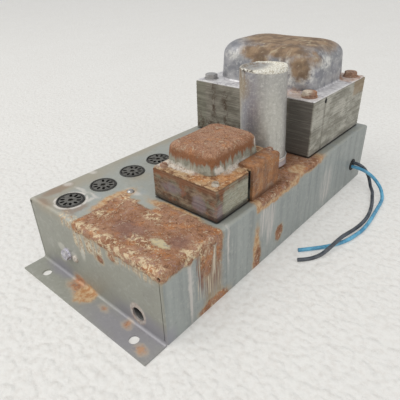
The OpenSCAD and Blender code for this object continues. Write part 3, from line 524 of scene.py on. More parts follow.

    # Painted shadow: a dark ring on the deck round each transformer's footprint, where the stacks
    # stand.
    painted_foot_shadow = f.box(f.ragged(1.0, 3, seed=9), (5.2, -71.1, 50), (55.6, -5.1, 54)).least(
        f.box(f.ragged(1.0, 3, seed=9), (-57.5, 44, 50), (54.5, 136, 54)))
    f.lay(f.step(painted_foot_shadow, 2.1, 1.0) * deck * 0.85, tone(34, 30, 28))

    covered = eaten.most(f.step(orange, 2.4, 0.2) * 0.6)
    rough = f.level(covered, f.level(clouds, 0.42, 0.6), 0.88)
    metal = f.level(covered.most(f.step(drips, 3, 0) * 0.6), 0.35, 0.0)
    height = (scale_height * covered * 0.55 + fine * 0.12 + clouds * 0.3
              + f.step(chalk, 1.0, -0.8) * 0.15 + eaten * 0.22)
    return f.done(rough, metal, f.bump(height, 0.9, 0.8))


def paint(piece, material):
    """Gives a mesh one material."""
    piece.data.materials.clear()
    piece.data.materials.append(material)


paint(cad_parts["chassis"], chassis_finish())
print("chassis painted")

# %% [markdown]
# Much of this object repeats: sheets in a stack, nine wells in each of four sockets, a
# bolt at each corner. Geometry Nodes say each of those as a rule. A maker writes one node
# tree with named inputs, runs it on a base mesh, and keeps the plain mesh that comes out,
# because only plain meshes can be exported.

# %% Geometry Nodes maker
class Maker(Tree):
    """One Geometry Nodes tree: a base mesh goes in, the finished mesh comes out."""

    def __init__(self, name, inputs):
        self.group = bpy.data.node_groups.new(name, "GeometryNodeTree")
        super().__init__(self.group)
        face = self.group.interface
        face.new_socket("Base", in_out="INPUT", socket_type="NodeSocketGeometry")
        for key, kind in inputs.items():
            face.new_socket(key, in_out="INPUT", socket_type="NodeSocket" + kind)
        face.new_socket("Finish", in_out="INPUT", socket_type="NodeSocketMaterial")
        face.new_socket("Mesh", in_out="OUTPUT", socket_type="NodeSocketGeometry")
        start = self.group.nodes.new("NodeGroupInput")
        self.given = {s.name: Flow(self.group, s) for s in start.outputs if s.name}

    def join(self, *parts):
        """Several geometries as one."""
        node = self.tree.nodes.new("GeometryNodeJoinGeometry")
        for part in parts:
            self.tree.links.new(part.socket, node.inputs[0])
        return Flow(self.tree, node.outputs[0])

    def close(self, geometry):
        """Ends the tree: real geometry with its material on."""
        real = self.node("GeometryNodeRealizeInstances", {}, {0: geometry})
        done = self.node("GeometryNodeSetMaterial", {},
                         {"Geometry": real, "Material": self.given["Finish"]})
        end = self.group.nodes.new("NodeGroupOutput")
        self.group.links.new(done.socket, end.inputs["Mesh"])
        return self

    def run(self, name, base, **values):
        """Runs the tree on a base object and returns the result as a plain mesh piece."""
        modifier = base.modifiers.new("maker", "NODES")
        modifier.node_group = self.group
        names = {s.name: s.identifier for s in self.group.interface.items_tree if s.in_out == "INPUT"}
        for key, value in values.items():
            modifier[names[key.replace("_", " ")]] = value
        mesh = evaluated_mesh(base)
        base.modifiers.clear()
        bpy.data.objects.remove(base)
        mesh.name = name
        piece = bpy.data.objects.new(name, mesh)
        bpy.context.scene.collection.objects.link(piece)
        return piece


def evaluated_mesh(piece):
    """The mesh of an object with its modifiers done."""
    bpy.context.view_layer.update()
    graph = bpy.context.evaluated_depsgraph_get()
    return bpy.data.meshes.new_from_object(piece.evaluated_get(graph))


def tidy(piece, merge=1e-6, angle=None):
    """Merges doubles and turns every face outwards."""
    bm = bmesh.new()
    bm.from_mesh(piece.data)
    bmesh.ops.remove_doubles(bm, verts=bm.verts, dist=merge)
    bmesh.ops.recalc_face_normals(bm, faces=bm.faces)
    if angle is not None:
        for edge in bm.edges:
            edge.smooth = edge.calc_face_angle(0) < math.radians(angle)
    bm.to_mesh(piece.data)
    bm.free()
    piece.data.polygons.foreach_set("use_smooth", [angle is not None] * len(piece.data.polygons))
    return piece


def settle(piece, body_nodes):
    """A finished piece rides on the chassis and stands for its solids."""
    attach(piece, "root")
    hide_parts(*body_nodes)
    print(piece.name, len(piece.data.polygons), "faces")
    return piece


def nodes_box(node):
    """A solid's box in millimetres: x0, x1, y0, y1, z0, z1."""
    low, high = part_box(node)
    return tuple(v / MM for pair in zip(low, high) for v in pair)


# %% [markdown]
# A transformer core is a pile of thin E and I stampings. One flat stamping is cut here
# with its two windows, its bolt holes and the small notch at each end of the E-I joint.
# The maker piles copies at a fixed pitch and shakes each one a little sideways, which is
# what makes the fine lines along the sides of a real stack.

# %% Lamination stacks
def stack_maker():
    m = Maker("lamination_stack", {"Sheets": "Int", "Pitch": "Float", "Shake": "Float", "Seed": "Int"})
    lift = m.node("ShaderNodeCombineXYZ", {}, {"Z": m.given["Pitch"]})
    line = m.node("GeometryNodeMeshLine", {"mode": "OFFSET"},
                  {"Count": m.given["Sheets"], "Offset": lift})
    reach = m.node("ShaderNodeCombineXYZ", {}, {"X": m.given["Shake"], "Y": m.given["Shake"]})
    shift = m.node("FunctionNodeRandomValue", {"data_type": "FLOAT_VECTOR"},
                   {"Min": m.vector("SCALE", reach, Scale=-1.0), "Max": reach, "Seed": m.given["Seed"]})
    line = m.node("GeometryNodeSetPosition", {}, {"Geometry": line, "Offset": shift})
    return m.close(m.node("GeometryNodeInstanceOnPoints", {},
                          {"Points": line, "Instance": m.given["Base"]}))


def stamping(name, outline, windows, holes, z, thick):
    """A flat sheet with openings, as a closed slab. Lengths in millimetres."""
    bm = bmesh.new()
    loops = [outline] + windows
    for cx, cy, r in holes:
        loops.append([(cx + r * math.cos(a * math.pi / 6), cy + r * math.sin(a * math.pi / 6))
                      for a in range(12)])
    edges = []
    for loop in loops:
        verts = [bm.verts.new((x * MM, y * MM, z * MM)) for x, y in loop]
        edges += [bm.edges.new((a, b)) for a, b in zip(verts, verts[1:] + verts[:1])]
    bmesh.ops.triangle_fill(bm, use_beauty=True, edges=edges)
    sheet = bmesh.ops.extrude_face_region(bm, geom=bm.faces[:])
    bmesh.ops.translate(bm, vec=(0, 0, thick * MM),
                        verts=[v for v in sheet["geom"] if isinstance(v, bmesh.types.BMVert)])
    bmesh.ops.recalc_face_normals(bm, faces=bm.faces)
    mesh = bpy.data.meshes.new(name)
    bm.to_mesh(mesh)
    bm.free()
    piece = bpy.data.objects.new(name, mesh)
    bpy.context.scene.collection.objects.link(piece)
    return piece


def rectangle(x0, x1, y0, y1):
    return [(x0, y0), (x1, y0), (x1, y1), (x0, y1)]


STACK = stack_maker()
SHEET_PITCH = 0.66
SHAKE = 0.12


def pile(name, node, outline, windows, holes, finish, seed):
    """Piles stampings to the height of a core's solid."""
    z0, z1 = nodes_box(node)[4:]
    count = round((z1 - z0) / SHEET_PITCH)
    pitch = (z1 - z0) / count
    base = stamping(name + "_sheet", outline, windows, holes, z0, pitch * 0.93)
    return STACK.run(name, base, Sheets=count, Pitch=pitch * MM, Shake=SHAKE * MM,
                     Seed=seed, Finish=finish)


print("sheets", SHEET_PITCH, "mm apart, shaken by", SHAKE, "mm")


# %% [markdown]
# The end bells are deep pressings: a flat flange, a small radius at the foot, nearly
# upright walls and a wide soft shoulder. Each is lofted from rounded rectangles, from the
# crown down the outside, round the flange, and back up the inside, so it is a closed
# shell with a real wall. A slow noise pushes the shell about by a fraction of a
# millimetre, because no old pressing is true.

# %% Pressed bells
def rounded_ring(x0, x1, y0, y1, radius, z, arc=7, run=10):
    """Points round a rounded rectangle, the same number for any size."""
    radius = max(min(radius, (x1 - x0) / 2 - 0.01, (y1 - y0) / 2 - 0.01), 0.05)
    corners = [(x1 - radius, y1 - radius, 0), (x0 + radius, y1 - radius, 90),
               (x0 + radius, y0 + radius, 180), (x1 - radius, y0 + radius, 270)]
    points = []
    for k, (cx, cy, turn) in enumerate(corners):
        for step in range(arc + 1):
            a = math.radians(turn + 90 * step / arc)
            points.append((cx + radius * math.cos(a), cy + radius * math.sin(a), z))
        nx, ny, nturn = corners[(k + 1) % 4]
        a = math.radians(nturn)
        end = (nx + radius * math.cos(a), ny + radius * math.sin(a))
        start = points[-1]
        for step in range(1, run):
            t = step / run
            points.append((start[0] + (end[0] - start[0]) * t, start[1] + (end[1] - start[1]) * t, z))
    return points


def loft(name, rings, capped=True):
    """A closed skin over rings of equal length, with a pole at each end."""
    count = len(rings[0])
    verts = [p for ring in rings for p in ring]
    faces = [(i * count + j, i * count + (j + 1) % count, (i + 1) * count + (j + 1) % count,
              (i + 1) * count + j) for i in range(len(rings) - 1) for j in range(count)]
    if capped:
        for ring, base in ((rings[0], 0), (rings[-1], (len(rings) - 1) * count)):
            verts.append(tuple(sum(p[k] for p in ring) / count for k in range(3)))
            faces += [(base + j, base + (j + 1) % count, len(verts) - 1) for j in range(count)]
    return tidy(mesh_piece(name, [Vector(v) * MM for v in verts], faces), angle=40)


def pressed_bell(name, flange, dome, z0, plate, height, corner, edge, wall, foot, draft, crown, dent):
    """Flange and dome as x0, x1, y0, y1; every length in millimetres."""
    def at(box, inset, radius, z):
        x0, x1, y0, y1 = box
        return rounded_ring(x0 + inset, x1 - inset, y0 + inset, y1 - inset, radius, z)
    top = z0 + height
    outside, inside = [], []
    half = min(dome[1] - dome[0], dome[3] - dome[2]) / 2
    for share in (0.94, 0.8, 0.6, 0.4, 0.2, 0.08):
        inset = draft + edge + (half - edge - draft) * share
        rise = crown * (1 - (1 - share) ** 2)
        outside.append(at(dome, inset, corner, top - crown + rise))
        inside.append(at(dome, inset + 0.01, corner, top - crown + rise - wall))
    for k in range(9):
        a = math.radians(90 - 90 * k / 8)
        inset = draft + edge * (1 - math.cos(a))
        outside.append(at(dome, inset, corner, top - crown - edge + edge * math.sin(a)))
        inside.append(at(dome, inset + wall, corner - wall,
                         top - crown - edge + (edge - wall) * math.sin(a)))
    low = z0 + plate + foot
    for k in range(1, 5):
        z = top - crown - edge + (low - (top - crown - edge)) * k / 4
        outside.append(at(dome, draft * (1 - k / 4), corner, z))
        inside.append(at(dome, draft * (1 - k / 4) + wall, corner - wall, z))
    for k in range(1, 5):
        a = math.radians(90 * k / 4)
        outside.append(at(dome, -foot * (1 - math.cos(a)), corner + foot, low - foot * math.sin(a)))
    for inset, drop in ((0.6, 0.0), (0.15, 0.12), (0.0, 0.45)):
        outside.append(at(flange, inset, 1.6, z0 + plate - drop))
    outside.append(at(flange, 0.0, 1.6, z0 + 0.2))
    outside.append(at(flange, 0.2, 1.4, z0))
    inside.append(at(dome, wall, corner - wall, z0))
    piece = loft(name, outside + inside[::-1])
    for vertex in piece.data.vertices:
        push = noise.noise_vector(vertex.co * 28) * dent * MM
        share = min(max((vertex.co.z / MM - z0 - plate - 1) / 6, 0), 1)
        vertex.co += push * share
    return piece


print("bells ready to press")

# %% [markdown]
# Turned pieces, such as the can, its ring, the bolt heads and the washers, come from one
# helper that spins a profile. A hexagon is a turned piece too: its radius follows the six
# flats low down, and a circle near the top, which leaves the chamfer of a real head.

# %% Turned pieces
def turned(name, profile, segments=64, flats=None, centre=(0, 0, 0), angle=40, capped=True):
    """Spins (radius, height) pairs about Z. flats gives a hexagon across that size."""
    rings = []
    for radius, z in profile:
        ring = []
        for k in range(segments):
            a = math.tau * k / segments
            r = radius
            if flats:
                folded = (a + math.pi / 6) % (math.pi / 3) - math.pi / 6
                r = min(radius, flats / 2 / math.cos(folded))
            ring.append((centre[0] + r * math.cos(a), centre[1] + r * math.sin(a), centre[2] + z))
        rings.append(ring)
    piece = loft(name, rings, capped)
    return tidy(piece, angle=angle)


def corner_maker():
    """One copy of the base at each corner of a rectangle, each turned its own way."""
    m = Maker("four_corners", {"Width": "Float", "Depth": "Float", "Centre": "Vector", "Seed": "Int"})
    grid = m.node("GeometryNodeMeshGrid", {}, {"Size X": m.given["Width"], "Size Y": m.given["Depth"],
                                               "Vertices X": 2, "Vertices Y": 2})
    grid = m.node("GeometryNodeSetPosition", {}, {"Geometry": grid, "Offset": m.given["Centre"]})
    spin = m.node("FunctionNodeRandomValue", {"data_type": "FLOAT_VECTOR"},
                  {"Min": (0, 0, 0), "Max": (0.008, 0.008, 6.2), "Seed": m.given["Seed"]})
    return m.close(m.node("GeometryNodeInstanceOnPoints", {},
                          {"Points": grid, "Instance": m.given["Base"], "Rotation": spin}))


CORNERS = corner_maker()
print("makers ready")

# %% [markdown]
# The power transformer's core. Its sheets are varnished olive grey, with fine lines from
# the stack, two brown run marks on the near face, a darker right-hand third where the
# varnish held, and a pale right side with the dark joint between E and I.

# %% Power core
def stack_lines(f, seed=0):
    """Fine level lines, one tone per sheet or two."""
    return f.noise(0.55, 2, stretch=(60, 60, 1), seed=seed)


def power_core_finish():
    f = Finish("varnished_laminations")
    lines = stack_lines(f)
    smear = f.noise(6, 5, rough=0.6, stretch=(2.2, 2.2, 1), seed=2)
    grain = f.noise(1.6, 4, rough=0.65, stretch=(3, 3, 1), seed=3)
    torn = f.ragged(6, 7)
    side = f.step(f.x, 54.2, 54.9)
    f.color = f.mix(f.step(smear, 0.36, 0.64), tone(112, 106, 94), tone(150, 144, 132))
    f.lay(f.step(f.x, 33, 36), f.mix(smear, tone(98, 94, 88), tone(120, 114, 106)))
    f.lay(side, f.mix(f.step(smear, 0.36, 0.64), tone(142, 139, 127), tone(188, 185, 174)))
    f.lay(f.step(f.box(torn, (-62, 38, 50), (-50, 140, 100)), 4, 0) * 0.4, tone(104, 108, 88))
    f.lay(f.step(lines, 0.52, 0.66) * 0.45, tone(86, 82, 72))
    f.lay(f.step(lines, 0.46, 0.34) * 0.4, tone(170, 166, 152))
    f.lay(f.step(grain, 0.56, 0.7) * 0.4, tone(90, 80, 66))
    columns = f.blobs(torn, (-26, 43, 76, 2.4, 4, 16), (-26, 43, 83, 3.4, 4, 5),
                      (-39, 43, 80, 2.0, 4, 17), (-39, 43, 62, 2, 4, 6), (-32, 43, 60, 26, 4, 3),
                      (-55, 43, 58, 4, 4, 10))
    f.lay(f.step(columns, 2.2, -1.6) * f.step(f.noise(2.4, 6, rough=0.75, stretch=(1, 1, 1.6), seed=12),
                                              0.46, 0.56) * 0.85, tone(74, 54, 38))
    joint = f.step(f.box(f.ragged(1.2, 5, seed=4), (50, 60.6, 40), (60, 63.0, 110)), 1.4, 0) * side
    f.lay(joint * 0.35, tone(112, 108, 96))
    # Painted shade: a near-black spot at the top of the E-I joint, for a small hole there.
    f.lay(f.step(f.blob(f.ragged(1.5, 2, seed=5), (55.5, 62, 93), (4, 1.8, 1.8)), 0.5, -0.3),
          tone(16, 15, 14))
    f.lay(f.step(f.z, 57, 54) * side * f.step(grain, 0.35, 0.6) * 0.5, tone(120, 114, 110))
    f.lay(f.step(f.box(f.ragged(5, 5, seed=6), (49, 117, 86), (60, 140, 100)), 4, 0) * 0.6,
          tone(150, 124, 88))
    height = lines * 0.5 + grain * 0.5
    return f.done(f.level(smear, 0.5, 0.7), 0.25, f.bump(height, 0.35, 0.6))


x0, x1, y0, y1, z0, z1 = nodes_box("power_core")
LEG, WINDOW = 19.0, 19.0
JOINT_Y = y0 + LEG
NICK_HALF, NICK_DEEP = 0.25, 0.7
near, far = JOINT_Y - NICK_HALF, JOINT_Y + NICK_HALF
outline = [(x0, y0), (x1, y0), (x1, near), (x1 - NICK_DEEP, near), (x1 - NICK_DEEP, far), (x1, far),
           (x1, y1), (x0, y1), (x0, far), (x0 + NICK_DEEP, far), (x0 + NICK_DEEP, near), (x0, near)]
windows = [rectangle(x0 + LEG, x0 + LEG + WINDOW, y0 + LEG, y1 - LEG),
           rectangle(x1 - LEG - WINDOW, x1 - LEG, y0 + LEG, y1 - LEG)]
bolt_inset = 9.5
bolt_holes = [(x, y, 2.6) for x in (x0 + bolt_inset, x1 - bolt_inset)
              for y in (y0 + bolt_inset, y1 - bolt_inset)]
power_core = pile("power_stack", "power_core", outline, windows, bolt_holes, power_core_finish(), 5)
settle(power_core, ["power_core"])

# %% [markdown]
# The power bell is hot-dipped: lilac grey with chalky white mottling. Water that stood on
# its crown left a brown skin that spills over the near shoulder. The flange is paler, and
# its rim carries a painted highlight.

# %% Power bell
def power_bell_finish():
    f = Finish("mottled_zinc")
    cloud = f.noise(10, 6, rough=0.62, seed=1)
    mottle = f.noise(3.4, 5, rough=0.66, seed=2)
    fine = f.noise(1.1, 4, rough=0.65, seed=3)
    torn = f.ragged(17, 14)
    flange = f.step(f.z, 98.6, 97.2)
    f.color = f.mix(f.step(cloud, 0.36, 0.64), tone(132, 133, 138), tone(172, 171, 172))
    f.lay(f.step(mottle, 0.54, 0.68) * 0.6, tone(214, 214, 214))
    f.lay(f.step(mottle, 0.46, 0.32) * 0.5, tone(122, 124, 132))
    f.lay(f.step(f.noise(20, 3, seed=5), 0.52, 0.66) * 0.25, tone(158, 156, 170))
    white = f.blobs(torn, (20, 57, 118, 5, 8, 7), (24, 57, 106, 8, 6, 8), (40, 60, 110, 5, 7, 8),
                    (-30, 58, 118, 8, 8, 3), (43, 80, 117, 6, 12, 5))
    f.lay(f.step(white, 3, -3) * f.step(mottle, 0.38, 0.58) * 0.8, tone(230, 228, 222))
    f.lay(flange, f.mix(f.step(mottle, 0.35, 0.65), tone(176, 172, 176), tone(226, 224, 224)))
    stain = f.blobs(torn, (2, 94, 127, 40, 30, 9), (14, 66, 124, 24, 12, 6), (-26, 108, 127, 14, 14, 6),
                    (34, 68, 119, 9, 10, 7), (-7, 60, 123, 14, 8, 6), (-2, 57, 114, 8, 5, 9),
                    (33, 60, 114, 9, 7, 9))
    film = f.step(stain, 3.0, -2.0)
    brown = f.mix(f.step(cloud, 0.4, 0.6), tone(110, 86, 60), tone(144, 116, 84))
    brown = f.mix(f.step(f.noise(8, 5, twist=1.2, seed=7), 0.52, 0.7) * 0.7, brown, tone(186, 170, 140))
    brown = f.mix(f.step(f.noise(5, 5, seed=8), 0.55, 0.75) * 0.6, brown, tone(112, 82, 64))
    f.lay(film * 0.9, brown)
    corner = f.blobs(torn, (47, 126, 97, 15, 17, 6), (38, 50, 97, 15, 8, 3), (24, 51, 97, 9, 5, 3))
    rusty, lumps = rust(f, 0.3)
    eaten = f.step(corner, 1.5, -1.5)
    f.lay(eaten * 0.92, rusty)
    # The near-white band round the flange's rim is a painted highlight.
    rim = f.step(f.z, 97.0, 96.4) * f.step(f.noise(7, 3, seed=9), 0.36, 0.5)
    f.lay(rim * 0.7, tone(240, 238, 236))
    f.lay(f.step(fine, 0.6, 0.8) * 0.25, tone(104, 100, 98))
    worn = film.most(eaten)
    height = mottle * 0.5 + fine * 0.25 + lumps * eaten * 0.8 + cloud * 0.4
    return f.done(f.level(worn, f.level(mottle, 0.34, 0.56), 0.8), f.level(worn, 0.5, 0.05),
                  f.bump(height, 0.8, 0.7))


x0, x1, y0, y1, z0, z1 = nodes_box("power_bell_top")
SIDE, END = 11.0, 13.1
power_bell = pressed_bell("power_bell", (x0, x1, y0, y1), (x0 + SIDE, x1 - SIDE, y0 + END, y1 - END),
                          z0, plate=1.2, height=z1 - z0, corner=14.5, edge=11, wall=1.1, foot=2.2,
                          draft=0.8, crown=1.0, dent=0.5)
bell_finish = power_bell_finish()
power_bell.data.materials.append(bell_finish)
settle(power_bell, ["power_bell_top"])

# %% [markdown]
# The output transformer sits where water pooled, so it is rusted through its zinc. Its
# bell's crown is brown scale with pale flecks; the upright walls kept some grey; a white
# crust outlines the foot.

# %% Output core and bell
def output_core_finish():
    f = Finish("rusted_laminations")
    lines = stack_lines(f, 2)
    smear = f.noise(5, 5, rough=0.65, stretch=(1.6, 1.6, 1), seed=3)
    grain = f.noise(1.3, 4, rough=0.7, stretch=(2.4, 2.4, 1), seed=4)
    torn = f.ragged(8, 7)
    side = f.step(f.x, 55.6, 56.2)
    rusty, lumps = rust(f, 0.6)
    f.color = f.mix(f.step(smear, 0.4, 0.6), tone(98, 76, 60), tone(146, 128, 106))
    f.lay(f.step(f.noise(7, 6, rough=0.7, seed=6), 0.48, 0.58) * 0.7, tone(132, 132, 112))
    f.lay(f.step(f.noise(8, 6, rough=0.7, seed=8), 0.5, 0.6) * 0.75, tone(138, 82, 48))
    f.lay(f.step(f.z, 68, 72) * (1 - side) * 0.65, tone(134, 86, 56))
    mauve = f.blobs(torn, (43, -72, 60, 5, 5, 6), (20, -72, 64, 8, 5, 3), (56.6, -69, 58, 5, 3, 6))
    f.lay(f.step(mauve, 2, -1.5) * 0.6, tone(140, 128, 138))
    pale = f.box(torn, (50, -64, 50), (60, -41, 69))
    f.lay(side * f.step(pale, 3, 0) * 0.85, f.mix(f.step(grain, 0.4, 0.65), tone(152, 152, 134),
                                                  tone(182, 182, 166)))
    f.lay(f.step(lines, 0.52, 0.64) * 0.3, tone(70, 52, 42))
    f.lay(f.step(lines, 0.45, 0.34) * 0.2, tone(176, 150, 126))
    f.lay(f.step(grain, 0.56, 0.72) * 0.5, tone(78, 54, 42))
    # Near black along the foot of the stack is painted shade where it stands on the deck.
    f.lay(f.step(f.z + (grain - 0.5) * 4, 57, 54) * 0.75, tone(40, 30, 26))
    # Painted shade: the groove is near black above, for the shade in its depth, and grey green low
    # down.
    painted_groove_shade = f.step(f.box(f.at, (53, -41.5, 50), (56.2, -37.7, 80)), 0.25, 0.0)
    f.lay(painted_groove_shade * 0.95, f.mix(f.step(f.z, 58, 62), tone(96, 96, 86), tone(14, 12, 11)))
    return f.done(0.82, 0.05, f.bump(lines * 0.5 + grain * 0.6 + lumps * 0.4, 0.45, 0.7))


def output_bell_finish():
    f = Finish("rusted_pressing")
    torn = f.ragged(9, 6)
    wide = f.ragged(14, 12, seed=2)
    mottle = f.noise(3.2, 5, rough=0.66, seed=2)
    fine = f.noise(0.9, 4, rough=0.7, seed=3)
    runs = f.noise(3, 4, stretch=(1, 1, 9), seed=5)
    rusty, lumps = rust(f, 0.5)
    rusty = f.mix(f.step(f.noise(9, 7, rough=0.75, seed=12), 0.44, 0.58) * 0.25, rusty,
                  tone(170, 128, 104))
    rusty = f.mix(f.step(fine, 0.54, 0.64) * 0.5, rusty, tone(206, 176, 148))
    rusty = f.mix(f.step(fine, 0.46, 0.36) * 0.5, rusty, tone(96, 64, 48))
    rusty = f.mix(f.step(f.z + (mottle - 0.5) * 5, 88.6, 84.6) * 0.75, rusty, tone(128, 80, 46))
    # Walls: grey zinc that shows below the shoulder, streaked with brown from above.
    grey = f.mix(f.step(mottle, 0.35, 0.65), tone(134, 132, 118), tone(166, 164, 150))
    grey = f.mix(f.step(runs, 0.5, 0.66) * 0.55, grey, tone(140, 112, 84))
    wall = f.step(f.z + (runs - 0.5) * 13 + (mottle - 0.5) * 5, 82.8, 79.6)
    f.color = f.mix(wall, rusty, grey)
    # Flange: orange at the right, brown at the near edge, white crust against the foot.
    flange = f.step(f.z, 76.2, 75.0)
    plate = f.mix(f.step(f.noise(5, 7, rough=0.75, seed=7), 0.44, 0.56), tone(128, 90, 62),
                  tone(186, 156, 120))
    orange = f.blobs(wide, (52, -56, 74, 7, 11, 3), (38, -67, 74, 8, 4, 3))
    plate = f.mix(f.step(orange, 2, -2) * 0.7, plate,
                  f.mix(f.step(mottle, 0.4, 0.6), tone(150, 92, 46), tone(204, 146, 90)))
    plate = f.mix(f.step(f.noise(2.4, 6, rough=0.75, seed=9), 0.54, 0.62) * 0.7, plate, SCALE_CREAM)
    f.lay(flange, plate)
    crust = f.blobs(torn, (16, -64.2, 75.5, 14, 2.2, 2), (6, -64, 75, 5, 6, 2),
                    (47, -44, 75.6, 2.2, 9, 2), (46, -34, 75, 2, 8, 2), (28, -64.4, 75.2, 5, 1.2, 2),
                    (44, -14, 84, 3, 6, 3), (10, -56, 75, 6, 3, 2))
    f.lay(f.step(crust, 1.2, -0.8) * f.step(fine, 0.32, 0.52) * 0.85, tone(220, 214, 204))
    splash = f.blob(torn, (47, -56, 78.4), (2.4, 5, 2.2))
    f.lay(f.step(splash, 0.8, -0.6) * 0.85, tone(226, 220, 210))
    edge = f.step(f.z, 74.2, 73.5) * f.step(f.y, -70.5, -71.6).most(f.step(f.x, 55.4, 56.2))
    f.lay(edge * 0.8, f.mix(mottle, tone(84, 56, 40), tone(120, 88, 66)))
    height = lumps * 0.8 + mottle * 0.35 + f.step(crust, 1.2, -0.8) * 0.3
    return f.done(0.86, f.level(wall, 0.0, 0.2), f.bump(height, 0.9, 0.85))


x0, x1, y0, y1, z0, z1 = nodes_box("output_core")
GROOVE = (y0 + 31.4, y0 + 34.2, 2.6)
outline = [(x0, y0), (x1, y0), (x1, GROOVE[0]), (x1 - GROOVE[2], GROOVE[0]),
           (x1 - GROOVE[2], GROOVE[1]),
           (x1, GROOVE[1]), (x1, y1), (x0, y1)]
windows = [rectangle(x0 + 10.6, x1 - 10.6, y0 + 11.8, y0 + 23.0),
           rectangle(x0 + 10.6, x1 - 10.6, y1 - 23.0, y1 - 11.8)]
screw_inset = 5.0
screw_holes = [(x, y, 1.9) for x in (x0 + screw_inset, x1 - screw_inset)
               for y in (y0 + screw_inset, y1 - screw_inset)]
output_core = pile("output_stack", "output_core", outline, windows, screw_holes, output_core_finish(),
                   9)
settle(output_core, ["output_core"])


def cut(piece, low, high):
    """Takes a box, given in millimetres, out of a closed piece."""
    corners = [[v * MM for v in p] for p in (low, high)]
    verts = [(corners[i][0], corners[j][1], corners[k][2]) for i in (0, 1) for j in (0, 1) for k in (0,
                                                                                                     1)]
    faces = [(0, 1, 3, 2), (4, 6, 7, 5), (0, 4, 5, 1), (2, 3, 7, 6), (0, 2, 6, 4), (1, 5, 7, 3)]
    tool = mesh_piece("cutter", verts, faces, smooth=False)
    modifier = piece.modifiers.new("cut", "BOOLEAN")
    modifier.operation, modifier.solver, modifier.object = "DIFFERENCE", "EXACT", tool
    mesh = evaluated_mesh(piece)
    piece.modifiers.clear()
    piece.data = mesh
    bpy.data.objects.remove(tool)
    return piece


x0, x1, y0, y1, z0, z1 = nodes_box("output_bell_top")
output_bell = pressed_bell("output_bell", (x0, x1, y0, y1), (x0 + 1.9, x1 - 10.3, y0 + 8.8, y1 - 7.9),
                           z0, plate=1.2, height=z1 - z0, corner=6.5, edge=4.2, wall=0.9, foot=1.2,
                           draft=0.9, crown=0.7, dent=0.6)
cut(output_bell, (x1 - GROOVE[2], GROOVE[0], z0 - 2), (x1 + 2, GROOVE[1], z0 + 4))
output_bell.data.materials.append(output_bell_finish())
settle(output_bell, ["output_bell_top"])

# %% [markdown]
# The can is drawn aluminium, stood slightly askew in its ring. It has a faint vertical
# grain, a yellow-brown stain down its left side from the top, a darker lilac band in the middle
# and a paler patch on its right, both painted reflection, and a crown crusted white where its
# vent wept, with dark pits at the near edge.

# %% Can and ring
DECK_Z, RING_R, ASKEW = 52.0, 17.6, math.radians(3.1)
CAN_X, CAN_Y, CAN_FOOT = 31.0, 16.5, DECK_Z + RING_R * math.sin(ASKEW)
pivot = Matrix.Translation((CAN_X * MM, CAN_Y * MM, DECK_Z * MM))
LEAN = pivot @ Matrix.Rotation(-ASKEW, 4, "Y") @ pivot.inverted()


def can_finish():
    f = Finish("drawn_aluminium")
    slant = f.node("ShaderNodeCombineXYZ", {}, {"X": f.z - 52})
    upright = f.vector("ADD", f.at, f.vector("SCALE", slant, Scale=0.054))
    grain = f.noise(1.4, 4, rough=0.6, stretch=(1, 1, 26), at=upright, seed=1)
    runs = f.noise(4, 5, rough=0.6, stretch=(1, 1, 9), at=upright, seed=2)
    cloud = f.noise(11, 5, seed=3)
    fine = f.noise(1.2, 5, rough=0.7, seed=4)
    torn = f.ragged(9, 8)
    f.color = f.mix(cloud, tone(160, 158, 156), tone(182, 180, 174))
    # A darker lilac band down the near middle is a painted reflection.
    f.lay(f.step(f.blob(f.ragged(10, 16, seed=3), (27, -1, 88), (7, 6, 46)), 3, -3) * 0.7,
          tone(148, 147, 158))
    # A paler patch on the right is a painted reflection.
    f.lay(f.step(f.blob(torn, (44, 7, 78), (9, 9, 36)), 4, -4) * 0.6, tone(196, 194, 184))
    stain = f.blobs(torn, (12, 10, 106, 9, 16, 17), (13, 12, 78, 4, 12, 26), (18, 2, 112, 10, 6, 9))
    f.lay(f.step(stain, 3, -4) * f.step(runs, 0.3, 0.5) * 0.75, tone(160, 140, 106))
    f.lay(f.step(f.z, 108, 119) * f.step(runs, 0.46, 0.62) * f.step(f.x, 30, 18) * 0.7,
          tone(128, 98, 66))
    f.lay(f.step(grain, 0.56, 0.7) * 0.18, tone(206, 204, 198))
    f.lay(f.step(grain, 0.44, 0.32) * 0.16, tone(126, 122, 120))
    speckle = f.noise(2.2, 7, rough=0.8, seed=12)
    f.lay(f.step(speckle, 0.52, 0.6) * 0.45, tone(216, 215, 210))
    f.lay(f.step(speckle, 0.46, 0.38) * 0.35, tone(132, 128, 126))
    top = f.step(f.z + f.x * 0.054, 123.3, 124.3)
    crust = f.mix(f.step(fine, 0.36, 0.6), tone(178, 168, 148), tone(232, 230, 220))
    f.lay(top, crust)
    from_middle = f.vector("SUBTRACT", f.at, (27, 16.5, 123))
    near = f.step(f.vector("DOT_PRODUCT", from_middle, (-0.45, -0.9, 0), out="Value"), 6, 15)
    pits = f.step(f.noise(2.6, 4, rough=0.7, seed=9), 0.5, 0.62) * near * f.step(f.z, 120.4, 122.4)
    f.lay(pits * 0.85, tone(62, 48, 36))
    rim = f.step(f.z, 121.6, 122.8) * near * f.step(f.noise(3, 4, seed=10), 0.46, 0.36)
    f.lay(rim * 0.9, tone(240, 238, 232))
    height = grain * 0.25 + fine * 0.3 + top * fine * 0.8 - pits * 0.6
    return f.done(f.level(top, f.level(cloud, 0.36, 0.5), 0.85), f.level(top, 0.62, 0.05),
                  f.bump(height, 0.5, 0.6))


def ring_finish():
    f = Finish("crimped_ring")
    cloud = f.noise(5, 5, seed=1)
    low = f.step(f.z + (cloud - 0.5) * 3, 55.6, 53.4)
    f.color = f.mix(cloud, tone(164, 158, 162), tone(198, 192, 194))
    f.lay(f.step(f.z, 57.3, 58.2) * 0.8, tone(232, 230, 226))
    f.lay(low * 0.6, tone(150, 108, 92))
    return f.done(0.45, f.level(low, 0.6, 0.1), f.bump(cloud, 0.3, 0.5))


